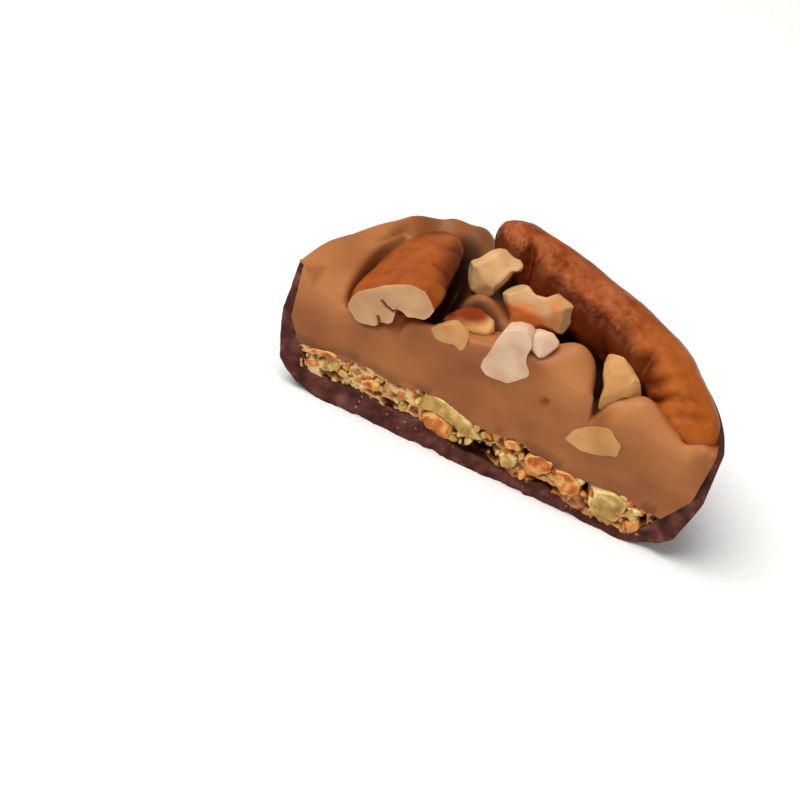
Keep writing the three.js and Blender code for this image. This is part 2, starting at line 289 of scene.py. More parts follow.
def fromPath(x, y, path):
    # distance to a line through several points
    nearest = np.full(np.shape(x), 1e9)
    for (ax, ay), (bx, by) in zip(path[:-1], path[1:]):
        share = ((x - ax) * (bx - ax) + (y - ay) * (by - ay)) / ((bx - ax) ** 2 + (by - ay) ** 2)
        share = np.clip(share, 0, 1)
        nearest = np.minimum(nearest, np.hypot(x - ax - share * (bx - ax), y - ay - share * (by - ay)))
    return nearest


def meltedAt(x):
    # where the edge between the cut and the top is melted round most: the left corner, the dome
    # and the right slope
    slope = smooth(9.8, 11.6, x) * smooth(20.6, 18.4, x)
    return np.maximum(mound(x, 0, 6.3, 0, 2.4, 1), np.maximum(smooth(-14.5, -17.5, x), slope))


topShape = {
    "level": 12.9, "edgeReach": 2.4,    # how far behind the cut the edge line counts
    "leastBank": 0.1, "mostBank": 2.6,  # it stands this far over the rim beside the wall
}


def fillingTop(x, y):
    s = topShape
    leftBank = smooth(-12.5, -16, x) * (0.25 * y - 0.7)
    z = s["level"] + leftBank + 0.6 * smooth(10, 14, x)
    for height, cx, cy, rx, ry in hills:
        z = z + height * mound(x, y, cx, cy, rx, ry)
    for valley in valleys:
        z = z - valley["depth"] * np.exp(-(fromPath(x, y, valley["path"]) / valley["width"]) ** 2)
    edgeShare = smooth(s["edgeReach"], 0.2, y)
    edgeShare = edgeShare + (np.clip(1 - y / s["edgeReach"], 0, 1) ** 2 - edgeShare) * meltedAt(x)
    z = z + (np.interp(x, edgeLine[:, 0], edgeLine[:, 1]) - z) * edgeShare
    edge = smooth(18.6, 21.4, fromAxis(x, y))
    lowest = cup["rimHeight"] + s["leastBank"] + 0.6 * smooth(-8, -15, x) * smooth(0.5, 5, y)
    lowest = lowest - 2.6 * mound(x, y, 20.6, 2.2, 2.0, 2.0)    # open at the back pecan's tip
    bank = np.clip(z, lowest, cup["rimHeight"] + s["mostBank"])
    return z + (bank - z) * edge * smooth(-0.1, 2.4, y + 3 * smooth(-20, -21.5, x) + 3 * smooth(20, 21.5, x))


# materials

def colour(code):
    # sRGB hex to linear
    parts = [int(code[i:i + 2], 16) / 255 for i in (1, 3, 5)]
    linear = [c / 12.92 if c <= 0.04045 else ((c + 0.055) / 1.055) ** 2.4 for c in parts]
    return (*linear, 1.0)


def addNode(tree, kind, settings=None, links=None):
    # stops are a ramp's colours: first, last, then those between
    node = tree.nodes.new(kind)
    for key, value in (settings or {}).items():
        if key == "stops":
            elements = node.color_ramp.elements
            for n, (place, code) in enumerate(value):
                element = elements[n] if n < 2 else elements.new(place)
                element.position = place
                element.color = colour(code)
        elif isinstance(key, int) or key in node.inputs:
            node.inputs[key].default_value = value
        else:
            setattr(node, key, value)
    for key, source in (links or {}).items():
        tree.links.new(source, node.inputs[key])
    return node


def newMaterial(name, finish):
    material = bpy.data.materials.new(name)
    material.use_nodes = True
    tree = material.node_tree
    shader = tree.nodes["Principled BSDF"]
    for key, value in finish.items():
        shader.inputs[key].default_value = value
    return material, tree, shader


def startLook(name, finish, sizes, bump):
    # what most finishes share: noises in the object, each (size in mm, detail), and a bump from
    # the last one, as (strength, depth in mm)
    material, tree, shader = newMaterial(name, finish)
    place = addNode(tree, "ShaderNodeTexCoord").outputs["Object"]
    noises = []
    for sizeMm, detail in sizes:
        settings = {"Scale": 1000 / sizeMm, "Detail": detail}
        noises.append(addNode(tree, "ShaderNodeTexNoise", settings, {"Vector": place}).outputs["Fac"])
    relief = addNode(tree, "ShaderNodeBump", {"Strength": bump[0], "Distance": bump[1] * 0.001},
                     {"Height": noises[-1]})
    tree.links.new(relief.outputs["Normal"], shader.inputs["Normal"])
    return material, tree, shader, place, *noises


def milkChocolateFilling():
    # milk chocolate ganache, cut with a knife, and set from a pour on top: soft brown, slightly glossy, with
    # faint drag marks along the cut; warmer painted light on the melted round edges and the top, painted
    # shade in the valleys, a darker stain where the crunch shows
    look = {
        "base": "#93572C", "dark": "#824724", "pale": "#9F6234", "poured": "#BA7844", "hollow": "#2A0E05",
        "streakMm": (9.0, 3.5), "mottleMm": 5.0, "grainMm": 0.35,
    }
    finish = {
        "Roughness": 0.45, "IOR": 1.4, "Specular IOR Level": 0.28, "Subsurface Weight": 0.12,
        "Subsurface Radius": (1.0, 0.4, 0.15), "Subsurface Scale": 0.0008,
    }
    material, tree, shader, place, mottle, _ = startLook(
        "milkChocolateFilling", finish, [(look["mottleMm"], 2.0), (look["grainMm"], 3.0)], (0.2, 0.04))
    long, thin = look["streakMm"]
    stretched = addNode(tree, "ShaderNodeMapping", {"Scale": (1 / long, 1 / thin, 1 / thin)},
                        {"Vector": place})
    streaks = addNode(tree, "ShaderNodeTexNoise", {"Scale": 1000.0, "Detail": 2.0},
                      {"Vector": stretched.outputs["Vector"]})
    both = addNode(tree, "ShaderNodeMath", {"operation": "ADD"}, {0: streaks.outputs["Fac"], 1: mottle})
    half = addNode(tree, "ShaderNodeMath", {"operation": "MULTIPLY", 1: 0.5}, {0: both.outputs[0]})
    stops = [(0.34, look["dark"]), (0.66, look["pale"]), (0.5, look["base"])]
    tone = addNode(tree, "ShaderNodeValToRGB", {"stops": stops}, {"Fac": half.outputs[0]})
    below = tone.outputs["Color"]
    # painted light on the edges and top, then painted shade and stain, over the tone
    for key in ("poured", "hollow"):
        share = addNode(tree, "ShaderNodeAttribute", {"attribute_name": key})
        over = addNode(tree, "ShaderNodeMix", {"data_type": "RGBA", 7: colour(look[key])},
                       {"Factor": share.outputs["Fac"], 6: below})
        below = over.outputs[2]
    tree.links.new(below, shader.inputs["Base Color"])
    return material


def darkChocolateMoulded():
    # dark chocolate, set against a polished mould: satin, with a little bloom and fine scuffs
    look = {"base": "#36160C", "bloom": "#452115", "bloomMm": 3.5, "scuffMm": 0.4, "gloss": (0.26, 0.46)}
    material, tree, shader, _, bloom, scuff = startLook(
        "darkChocolateMoulded", {"IOR": 1.46, "Specular IOR Level": 0.3},
        [(look["bloomMm"], 4.0), (look["scuffMm"], 3.0)], (0.2, 0.03))
    tone = addNode(tree, "ShaderNodeValToRGB", {"stops": [(0.42, look["base"]), (0.75, look["bloom"])]},
                   {"Fac": bloom})
    tree.links.new(tone.outputs["Color"], shader.inputs["Base Color"])
    low, high = look["gloss"]
    gloss = addNode(tree, "ShaderNodeMapRange", {"To Min": low, "To Max": high}, {"Value": scuff})
    tree.links.new(gloss.outputs["Result"], shader.inputs["Roughness"])
    return material


def darkChocolateBroken():
    # the same chocolate where it was cut: crumbly, duller and purple-brown, with pale crystals
    look = {"deep": "#34150E", "base": "#55291F", "pale": "#764A3D", "grainMm": 1.6, "fleckMm": 0.3}
    material, tree, shader, _, grain, _ = startLook(
        "darkChocolateBroken", {"Roughness": 0.5, "IOR": 1.4, "Specular IOR Level": 0.18},
        [(look["grainMm"], 3.0), (look["fleckMm"], 2.0)], (0.8, 0.14))
    grain.node.inputs["Roughness"].default_value = 0.55
    stops = [(0.33, look["deep"]), (0.74, look["pale"]), (0.52, look["base"])]
    tone = addNode(tree, "ShaderNodeValToRGB", {"stops": stops}, {"Fac": grain})
    tree.links.new(tone.outputs["Color"], shader.inputs["Base Color"])
    return material


def roastedPecanSkin():
    # roasted pecan: a thin papery skin over oily flesh, orange-brown on the ridges, with painted shade,
    # nearly black, in the creases and on the lower side; the band beside the groove is wrinkled and a little
    # greyer
    look = {
        "creaseShade": "#451303", "base": "#742E0A", "ridge": "#9C4C18", "band": "#A05A36", "warm": "#B26224",
        "sheen": "#FFD9B0", "fibreMm": (1.1, 3.0), "patchMm": 2.2,
    }
    finish = {
        "Roughness": 0.38, "IOR": 1.42, "Specular IOR Level": 0.12, "Specular Tint": colour(look["sheen"]),
        "Subsurface Weight": 0.08, "Subsurface Radius": (1.0, 0.3, 0.1), "Subsurface Scale": 0.0006,
    }
    material, tree, shader = newMaterial("roastedPecanSkin", finish)
    # fibres follow the skin, unrolled in millimetres
    unrolled = addNode(tree, "ShaderNodeUVMap", {"uv_map": "along"})
    across, along = look["fibreMm"]
    stretched = addNode(tree, "ShaderNodeMapping", {"Scale": (1 / across, 1 / along, 1.0)},
                        {"Vector": unrolled.outputs["UV"]})
    fibres = addNode(tree, "ShaderNodeTexNoise", {"Scale": 1.0, "Detail": 3.0, "Roughness": 0.5},
                     {"Vector": stretched.outputs["Vector"]})
    place = addNode(tree, "ShaderNodeTexCoord")
    patches = addNode(tree, "ShaderNodeTexNoise", {"Scale": 1000 / look["patchMm"], "Detail": 2.0},
                      {"Vector": place.outputs["Object"]})
    both = addNode(tree, "ShaderNodeMix", {"Factor": 0.3},
                   {2: patches.outputs["Fac"], 3: fibres.outputs["Fac"]})
    tone = addNode(tree, "ShaderNodeValToRGB", {"stops": [(0.36, look["base"]), (0.64, look["ridge"])]},
                   {"Fac": both.outputs[0]})
    band, warm, relief = (addNode(tree, "ShaderNodeAttribute", {"attribute_name": key}).outputs["Fac"]
                          for key in ("band", "warm", "relief"))
    warmShare = addNode(tree, "ShaderNodeMath", {"operation": "MULTIPLY", 1: 0.45}, {0: warm})
    mottle = addNode(tree, "ShaderNodeMapRange", {"From Min": 0.3, "From Max": 0.7, "To Max": 0.8},
                     {"Value": patches.outputs["Fac"]})
    bandShare = addNode(tree, "ShaderNodeMath", {"operation": "MULTIPLY"},
                        {0: band, 1: mottle.outputs["Result"]})
    # painted shade where the relief is low: in the creases and on the lower side
    creaseShadeShare = addNode(tree, "ShaderNodeMapRange", {"From Min": 0.42, "From Max": -0.1, "To Max": 0.85},
                          {"Value": relief})
    below = tone.outputs["Color"]
    for key, share in (("warm", warmShare), ("band", bandShare), ("creaseShade", creaseShadeShare)):
        over = addNode(tree, "ShaderNodeMix", {"data_type": "RGBA", 7: colour(look[key])},
                       {"Factor": share.outputs[0], 6: below})
        below = over.outputs[2]
    tree.links.new(below, shader.inputs["Base Color"])
    bump = addNode(tree, "ShaderNodeBump", {"Strength": 0.25, "Distance": 0.00008},
                   {"Height": fibres.outputs["Fac"]})
    tree.links.new(bump.outputs["Normal"], shader.inputs["Normal"])
    return material


def nutFlesh(name, base, shade, blush, nutStainAndShadeShare, softness=0.45, gloss=0.25):
    # raw cut nut flesh: waxy and matt, cream, a little darker and warmer in patches
    look = {"patchMm": 2.4, "grainMm": 0.25}
    finish = {
        "Roughness": 0.5, "IOR": 1.42, "Specular IOR Level": gloss, "Subsurface Weight": softness,
        "Subsurface Radius": (1.0, 0.6, 0.3), "Subsurface Scale": 0.0014,
    }
    material, tree, shader, _, patches, _ = startLook(
        name, finish, [(look["patchMm"], 1.5), (look["grainMm"], 3.0)], (0.2, 0.04))
    tone = addNode(tree, "ShaderNodeValToRGB", {"stops": [(0.35, shade), (0.62, base)]}, {"Fac": patches})
    # the nut's own stains and skin; on the cut pecan's flesh, painted shade in its cracks and lower part
    stain = addNode(tree, "ShaderNodeAttribute", {"attribute_name": "blush"})
    share = addNode(tree, "ShaderNodeMath", {"operation": "MULTIPLY", 1: nutStainAndShadeShare},
                    {0: stain.outputs["Fac"]})
    stained = addNode(tree, "ShaderNodeMix", {"data_type": "RGBA", 7: colour(blush)},
                      {"Factor": share.outputs[0], 6: tone.outputs["Color"]})
    tree.links.new(stained.outputs[2], shader.inputs["Base Color"])
    return material


def craggyCrunch():
    # caramel that holds the crunch: glassy brown, paler where crumbs stick to it, and painted shade, nearly
    # black, in the hollows and holes
    look = {
        "hollow": "#1C0C07", "caramel": "#8E5020", "crumb": "#BE8448", "pale": "#D6AE74", "grainMm": 0.5,
    }
    material, tree, shader, _, grain = startLook(
        "craggyCrunch", {"Roughness": 0.36, "IOR": 1.48, "Specular IOR Level": 0.35},
        [(look["grainMm"], 3.0)], (0.5, 0.08))
    relief = addNode(tree, "ShaderNodeAttribute", {"attribute_name": "relief"})
    shade = addNode(tree, "ShaderNodeMath", {"operation": "MULTIPLY_ADD", 1: 0.35},
                    {0: grain, 2: relief.outputs["Fac"]})
    stops = [(0.26, look["hollow"]), (1.0, look["pale"]), (0.46, look["caramel"]), (0.76, look["crumb"])]
    tone = addNode(tree, "ShaderNodeValToRGB", {"stops": stops}, {"Fac": shade.outputs[0]})
    tree.links.new(tone.outputs["Color"], shader.inputs["Base Color"])
    return material


def brokenBits(name, dark, base, pale, patchMm, roughness, softness):
    # small broken pieces: the colour drifts between three tones over patchMm, and sides that turn away from
    # the cut get a painted highlight in the pale tone
    finish = {
        "Roughness": roughness, "IOR": 1.45, "Specular IOR Level": 0.35, "Subsurface Weight": softness,
        "Subsurface Radius": (1.0, 0.6, 0.3), "Subsurface Scale": 0.0006,
    }
    material, tree, shader, _, patches = startLook(name, finish, [(patchMm, 3.0)], (0.4, 0.06))
    tone = addNode(tree, "ShaderNodeValToRGB", {"stops": [(0.34, dark), (0.66, pale), (0.5, base)]},
                   {"Fac": patches})
    # painted highlight on the sides that turn away from the cut
    edge = addNode(tree, "ShaderNodeAttribute", {"attribute_name": "edge"})
    edged = addNode(tree, "ShaderNodeMix", {"data_type": "RGBA", 7: colour(pale)},
                    {"Factor": edge.outputs["Fac"], 6: tone.outputs["Color"]})
    tree.links.new(edged.outputs[2], shader.inputs["Base Color"])
    return material


# nut flesh: base, shade, stain and its share (for the cut pecan, painted shade in its cracks and lower part);
# bits: three tones, patch in mm, roughness, softness
materials = {
    "filling": milkChocolateFilling(),
    "moulded": darkChocolateMoulded(),
    "broken": darkChocolateBroken(),
    "pecanSkin": roastedPecanSkin(),
    "pecanFlesh": nutFlesh("cutPecanFlesh", "#C49A6E", "#B38760", "#5E3418", 0.8),
    "cream": nutFlesh("choppedHazelnutFlesh", "#C89E6E", "#B78856", "#CC7436", 1.0),
    "white": nutFlesh("choppedBlanchedNutFlesh", "#D2B296", "#C49C7C", "#CF9C6C", 0.5),
    "tan": nutFlesh("choppedTanNutFlesh", "#C8945A", "#B58048", "#B5713A", 0.6),
    "skin": nutFlesh("hazelnutWithSkin", "#CE9C60", "#B87E44", "#7A2A06", 1.0, 0.1, 0.08),
    "crunch": craggyCrunch(),
    "wafer": brokenBits("crispWaferFlakes", "#8C6430", "#B68C50", "#D8B676", 0.6, 0.45, 0.3),
    "pistachio": brokenBits("choppedPistachio", "#967230", "#B8944A", "#E4CA84", 1.6, 0.34, 0.3),
    "chips": brokenBits("brokenChocolateChips", "#45201A", "#6E4236", "#B48A72", 0.8, 0.45, 0.1),
    "orange": brokenBits("candiedOrange", "#98420E", "#C06420", "#DEA858", 1.2, 0.34, 0.15),
}
print("materials made:", len(materials))


def dress(piece, finishes, node):
    # its materials and the body it rides on; the CAD node it stands for is hidden
    for finish in finishes:
        piece.data.materials.append(materials[finish])
    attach(piece, "root")
    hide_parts(node)
    return piece


# shell

shellLook = {
    "across": 320, "deep": 36, "upright": 54, "crowdedToCut": 1.6, "section": 14,    # faces each way
    "roundedOver": 0.3,       # corners of the mould are rounded over this height
    "breakDepth": 0.45, "breakLimits": (-0.02, 0.6),    # how far the broken cut stands back
    "breakFade": 1.5,         # the wall behind it moves along over this depth
    "grain": 0.9,             # size of its lumps
    "uneven": 0.03,           # waves in the moulded outside
}


def buildShell():
    s = shellLook
    share, outerFaces, number = boxSurface(s, ["bottom", "left", "back", "right"])

    def roundedRadius(z):
        offsets = np.linspace(-s["roundedOver"], s["roundedOver"], 9)
        soft = np.mean([outerRadius(np.maximum(z + d, 0)) for d in offsets], 0)
        return soft + (outerRadius(z) - soft) * (1 - smooth(0, 0.5, z))

    rim = lambda x, y: 0 * x + cup["rimHeight"]
    outside = bendToHalfCup(share, roundedRadius, level, rim, level)
    inside = bendToHalfCup(share, innerRadius, lambda x, y: floorTop(x), rim, level)
    count = len(outside)
    total = 2 * count
    points = [outside, inside]
    faces = [outerFaces, outerFaces[:, ::-1] + count]
    steps = s["section"]
    mix = np.linspace(0, 1, steps + 1)[None, 1:-1, None]

    def strip(path, ends=None):
        # joins the outer surface to the inner one along a path of point numbers
        nonlocal total
        between = outside[path][:, None, :] * (1 - mix) + inside[path][:, None, :] * mix
        grid = np.empty((len(path), steps + 1), int)
        grid[:, 0] = path
        grid[:, -1] = path + count
        grid[:, 1:-1] = total + np.arange(len(path) * (steps - 1)).reshape(len(path), steps - 1)
        if ends is not None:
            grid[0], grid[-1] = ends
        points.append(between.reshape(-1, 3))
        total += len(path) * (steps - 1)
        return grid

    top = np.concatenate([number[0, :, -1], number[1:-1, -1, -1], number[-1, ::-1, -1]])
    rimGrid = strip(top)
    section = np.concatenate([number[0, 0, ::-1], number[1:-1, 0, 0], number[-1, 0, :]])
    cutGrid = strip(section, ends=(rimGrid[0], rimGrid[-1]))
    faces += [quads(rimGrid)[:, ::-1], quads(cutGrid)]
    points = np.concatenate(points)
    faces = np.concatenate(faces)
    cutFaces = len(faces) - len(quads(cutGrid))
    # the cut is broken rather than sliced: lumps, pits and chipped edges
    onCut = np.zeros(len(points), bool)
    onCut[np.unique(cutGrid)] = True
    y = points[:, 1]
    back = s["breakDepth"] * (0.5 + 0.9 * roughNoise(points, s["grain"], 4))
    points[:, 1] += np.clip(back, *s["breakLimits"]) * smooth(s["breakFade"], 0, y)
    points += s["uneven"] * (roughNoise(points, 4.0, 2) * (1 - onCut))[:, None] * np.array([1, 1, 0])
    used = np.unique(faces)
    renumber = -np.ones(len(points), int)
    renumber[used] = np.arange(len(used))
    shell = makePiece("shell_chocolate", points[used], renumber[faces])
    shell.data.polygons.foreach_set("material_index", (np.arange(len(faces)) >= cutFaces).astype(int))
    return dress(shell, ["moulded", "broken"], "shell")


shell = buildShell()
print("shell:", len(shell.data.polygons), "faces")


# crunch

crunchLook = {
    "across": 460, "deep": 5, "upright": 40, "crowdedToCut": 1.5,
    "overlap": 0.15,          # it reaches this far into the layers above and below
    "cell": 1.2, "fineCell": 0.6,    # bubbles of the crisp wafer
    "walls": 0.60, "fine": 0.12, "lumps": 0.50, "sunk": 0.06,    # what the relief is made of
    "depth": 0.75,            # from the foremost crumbs to the bottom between them
    # open holes at the cut: middle x and z, half width, half height, depth
    "voids": [(0.2, 2.3, 2.0, 0.75, 1.8), (-1.7, 2.75, 0.6, 0.4, 1.2), (7.6, 1.95, 1.9, 0.25, 1.0),
              (-9.3, 2.9, 0.8, 0.3, 0.9), (-15.5, 3.2, 1.0, 0.3, 0.8), (-11.6, 4.0, 0.5, 0.5, 1.0),
              (17.3, 2.9, 0.6, 0.6, 0.8), (4.9, 4.3, 0.5, 0.5, 0.8), (11.2, 3.4, 0.35, 0.7, 0.9)],
}


def holeAt(x, z, cx, cz, rx, rz):
    return np.exp(-(((x - cx) / rx) ** 2 + ((z - cz) / rz) ** 2) ** 2)


def openPlaces(x, z):
    # 0 in the holes of the crunch, 1 elsewhere
    shut = np.ones(np.shape(x))
    for *hole, depth in crunchLook["voids"]:
        shut *= 1 - holeAt(x, z, *hole)
    return shut


def buildCrunch():
    s = crunchLook
    share, faces, number = boxSurface(s, ["bottom", "left", "back", "right", "front", "top"])
    points = bendToHalfCup(share, lambda z: innerRadius(z) + s["overlap"],
                           lambda x, y: floorTop(x) - s["overlap"],
                           lambda x, y: crunchTop(x, y) + s["overlap"], level)
    relief = np.full(len(points), 0.3)
    face = np.unique(number[:, 0, :])
    spots = points[face] * np.array([0.8, 1, 1.2])
    spots += 0.25 * np.stack([softNoise(spots, 0.9), 0 * spots[:, 0], softNoise(spots + 9, 0.9)], 1)
    walls = 1 - smooth(0.03, 0.4, cellEdges(spots, s["cell"]))
    fine = 1 - smooth(0.0, 0.6, cellEdges(spots + 31.7, s["fineCell"]))
    lumps = 0.5 + 0.5 * roughNoise(spots, 1.6, 3)
    x, z = points[face, 0], points[face, 2]
    height = np.clip(s["walls"] * walls + s["fine"] * fine + s["lumps"] * lumps - s["sunk"], 0, 1)
    height = height + (1 - height) * 0.35 * smooth(2.5, 4.5, x) * smooth(12, 11, x)
    height *= openPlaces(x, z)
    back = s["depth"] * (1 - height)
    for *hole, depth in s["voids"]:
        back += depth * holeAt(x, z, *hole)
    points[face, 1] += back + 0.1
    # the pale bubbly wafer is thickest on the left, caramel elsewhere
    pale = 0.62 + 0.38 * smooth(-5.5, -8, x) + 0.2 * softNoise(points[face], 2.0)
    # low relief in the holes and between the crumbs gives painted shade
    relief[face] = np.clip(height * pale, 0, 1)
    crunch = makePiece("crunch_caramel", points, faces, {"relief": relief})
    return dress(crunch, ["crunch"], "crunch")


crunch = buildCrunch()
print("crunch:", len(crunch.data.polygons), "faces")


# loose pieces in the crunch, scattered over its cut by Geometry Nodes

def addInput(tree, name, kind, default=None):
    item = tree.interface.new_socket(name=name, in_out="INPUT", socket_type=kind)
    if default is not None:
        item.default_value = default
    return item.identifier


def scatterTree():
    # points spread over the surface; on each one of the pieces, turned and sized at random
    tree = bpy.data.node_groups.new("scatterPieces", "GeometryNodeTree")
    sockets = {
        "surface": addInput(tree, "Surface", "NodeSocketGeometry"),
        "pieces": addInput(tree, "Pieces", "NodeSocketCollection"),
        "apart": addInput(tree, "Apart", "NodeSocketFloat", 0.0005),
        "density": addInput(tree, "Density", "NodeSocketFloat", 1.0e7),
        "smallest": addInput(tree, "Smallest", "NodeSocketFloat", 0.6),
        "largest": addInput(tree, "Largest", "NodeSocketFloat", 1.2),
        "seed": addInput(tree, "Seed", "NodeSocketInt", 1),
        "material": addInput(tree, "Material", "NodeSocketMaterial"),
    }
    tree.interface.new_socket(name="Geometry", in_out="OUTPUT", socket_type="NodeSocketGeometry")
    given = addNode(tree, "NodeGroupInput").outputs
    weight = addNode(tree, "GeometryNodeInputNamedAttribute", {"data_type": "FLOAT", "Name": "weight"})
    spread = addNode(tree, "GeometryNodeDistributePointsOnFaces", {"distribute_method": "POISSON"},
                     {"Mesh": given["Surface"], "Distance Min": given["Apart"], "Seed": given["Seed"],
                      "Density Max": given["Density"], "Density Factor": weight.outputs["Attribute"]})
    kinds = addNode(tree, "GeometryNodeCollectionInfo", {"Separate Children": True, "Reset Children": True},
                    {"Collection": given["Pieces"]})
    turn = addNode(tree, "FunctionNodeRandomValue", {"data_type": "FLOAT_VECTOR", "Max": (6.283,) * 3},
                   {"Seed": given["Seed"]})
    size = addNode(tree, "FunctionNodeRandomValue", {"data_type": "FLOAT"}, {"Seed": given["Seed"]})
    for socket in size.inputs:
        if socket.enabled and socket.name in ("Min", "Max"):
            tree.links.new(given["Smallest" if socket.name == "Min" else "Largest"], socket)
    turned = addNode(tree, "FunctionNodeEulerToRotation", links={"Euler": turn.outputs["Value"]})
    placed = addNode(tree, "GeometryNodeInstanceOnPoints", {"Pick Instance": True},
                     {"Points": spread.outputs["Points"], "Instance": kinds.outputs["Instances"],
                      "Rotation": turned.outputs["Rotation"],
                      "Scale": [o for o in size.outputs if o.enabled][0]})
    real = addNode(tree, "GeometryNodeRealizeInstances", links={"Geometry": placed.outputs["Instances"]})
    dressed = addNode(tree, "GeometryNodeSetMaterial",
                      links={"Geometry": real.outputs["Geometry"], "Material": given["Material"]})
    addNode(tree, "NodeGroupOutput", links={"Geometry": dressed.outputs["Geometry"]})
    return tree, sockets


def crumb(name, size, squash, seed, sides):
    # a small faceted lump, about size millimetres wide
    work = bmesh.new()
    bmesh.ops.create_icosphere(work, subdivisions=sides, radius=0.5)
    rng = np.random.default_rng(seed)
    points = np.array([v.co for v in work.verts])
    for _ in range(6):
        slant = rng.normal(size=3)
        slant /= np.linalg.norm(slant)
        points -= np.maximum(points @ slant - rng.uniform(0.26, 0.4), 0)[:, None] * slant
    points = points * np.array([1, 1, squash]) * size * 0.001
    for v, p in zip(work.verts, points):
        v.co = p
    for f in work.faces:
        f.smooth = True
    mesh = bpy.data.meshes.new(name)
    work.to_mesh(mesh)
    work.free()
    return bpy.data.objects.new(name, mesh)


def flake(name, long, wide, bend, seed):
    # a curled scrap of thin crisp wafer with a ragged outline
    rng = np.random.default_rng(seed)
    us, vs = np.meshgrid(np.linspace(-1, 1, 9), np.linspace(-1, 1, 6), indexing="ij")
    ragged = 1 + 0.25 * rng.uniform(-1, 1, us.shape) * (np.maximum(abs(us), abs(vs)) > 0.8)
    x = 0.5 * long * us * ragged
    y = 0.5 * wide * vs * ragged
    z = bend * (us ** 2 + 0.5 * np.sin(3 * vs + seed)) + 0.04 * rng.uniform(-1, 1, us.shape)
    top = np.stack([x, y, z + 0.04], -1).reshape(-1, 3)
    low = np.stack([x, y, z - 0.04], -1).reshape(-1, 3)
    grid = np.arange(54).reshape(9, 6)
    edge = np.concatenate([grid[:, 0], grid[-1, 1:], grid[-2::-1, -1], grid[0, -2:0:-1]])
    after = np.roll(edge, -1)
    faces = np.concatenate([quads(grid), quads(grid)[:, ::-1] + 54,
                            np.stack([edge, edge + 54, after + 54, after], 1)])
    mesh = bpy.data.meshes.new(name)
    mesh.from_pydata((np.concatenate([top, low]) * 0.001).tolist(), [], faces.tolist())
    for f in mesh.polygons:
        f.use_smooth = True
    return bpy.data.objects.new(name, mesh)


def cutStrip(weightAt, back, margin, low, high):
    # a strip over the cut between two heights, facing the front, with how thickly bits lie on it
    xs = np.linspace(-19.2, 17.7, 260)
    shares = np.linspace(margin, 1 - margin, 16)
    x, share = np.meshgrid(xs, shares, indexing="ij")
    z = low(x) + (high(x) - low(x)) * share
    points = np.stack([x, back + 0 * x, z], -1).reshape(-1, 3)
    return makePiece("strip", points, quads(np.arange(x.size).reshape(x.shape)),
                     {"weight": weightAt(points[:, 0], points[:, 2])})


# each: how thickly the bits lie, their sizes against the first bit, how far behind the cut they
# start, how far from the strip's edges, and how far they may stand out; "bit" is a crumb's size
scatterLook = {
    "crunch_wafer_flakes": {
        "finish": "wafer", "stem": "scrap", "crumbSeeds": range(40, 45), "bit": 0.85, "squash": 0.6,
        "seed": 4, "apart": 0.55, "perMm2": 2.6, "smallest": 0.4, "largest": 1.2, "back": 0.42,
        "margin": 0.03, "proud": 0.12,
        "weight": lambda x, z: openPlaces(x, z) * (
            0.35 + 0.65 * smooth(-6.5, -8.5, x) + 0.2 * smooth(11, 13, x))},
    "crunch_pistachio_crumbs": {
        "finish": "pistachio", "stem": "green", "crumbSeeds": range(4), "bit": 0.75, "squash": 0.7,
        "seed": 9, "apart": 0.75, "perMm2": 1.8, "smallest": 0.7, "largest": 1.8, "back": 0.35,
        "margin": 0.08, "proud": 0.12,
        "weight": lambda x, z: openPlaces(x, z) * (0.4 + 0.6 * smooth(-12, -15, x))},
    "crunch_orange_crumbs": {
        "finish": "orange", "stem": "orange", "crumbSeeds": range(20, 24), "bit": 0.8, "squash": 0.65,
        "seed": 5, "apart": 0.8, "perMm2": 1.6, "smallest": 0.7, "largest": 1.8, "back": 0.38,
        "margin": 0.1, "proud": 0.12,
        "weight": lambda x, z: openPlaces(x, z) * (0.35 + 0.65 * smooth(4, 6, x))},
    # chocolate crumbs that stick to the broken base below it
    "shell_cut_crumbs": {
        "finish": "chips", "stem": "chip", "crumbSeeds": range(60, 63), "bit": 0.4, "squash": 0.6,
        "seed": 8, "apart": 0.5, "perMm2": 0.9, "smallest": 0.4, "largest": 1.2, "back": 0.14,
        "margin": 0.1, "proud": 0.10, "weight": lambda x, z: 0.6 + 0 * x},
}


def scatter(name, tree, sockets):
    s = scatterLook[name]
    onShell = name.startswith("shell")
    bits = [crumb(s["stem"] + str(n), s["bit"], s["squash"], seed, 1 if onShell else 2)
            for n, seed in enumerate(s["crumbSeeds"])]
    if s["finish"] == "wafer":
        bits.append(flake("flake0", 0.9, 0.7, 0.1, 0))
    box = bpy.data.collections.new(name + "_pieces")
    for bit in bits:
        box.objects.link(bit)
    low = (lambda x: 0.25 + 0 * x) if onShell else floorTop
    high = (lambda x: floorTop(x) + 0.2) if onShell else (lambda x: crunchTop(x, 0 * x))
    host = cutStrip(s["weight"], s["back"], s["margin"], low, high)
    modifier = host.modifiers.new("scatter", "NODES")
    modifier.node_group = tree
    values = {
        "pieces": box, "apart": s["apart"] * 0.001, "density": s["perMm2"] * 1e6, "smallest": s["smallest"],
        "largest": s["largest"], "seed": s["seed"], "material": materials[s["finish"]],
    }
    for key, value in values.items():
        modifier[sockets[key]] = value
    made = applied(host)
    bpy.data.collections.remove(box)
    for bit in bits:
        bpy.data.objects.remove(bit)
    # nothing stands far out in front of the cut or goes below the base
    points = readVectors(made)
    front = cutY - s["proud"] * 0.001
    points[:, 1] = np.where(points[:, 1] < front, front + 0.15 * (points[:, 1] - front), points[:, 1])
    points[:, 2] = np.maximum(points[:, 2], 0.0004)
    made.vertices.foreach_set("co", points.astype(np.float32).ravel())
    made.name = name
    print(name + ":", len(made.polygons), "faces")
    ownNode, slot = ("shell", "dark_chocolate") if onShell else ("crunch", "crunch")
    return dress(addObject(name, made), [], ownNode)


tree, sockets = scatterTree()
for name in scatterLook:
    scatter(name, tree, sockets)


# larger pieces in the crunch that show at the cut, each an outline (x, z) on the cut face

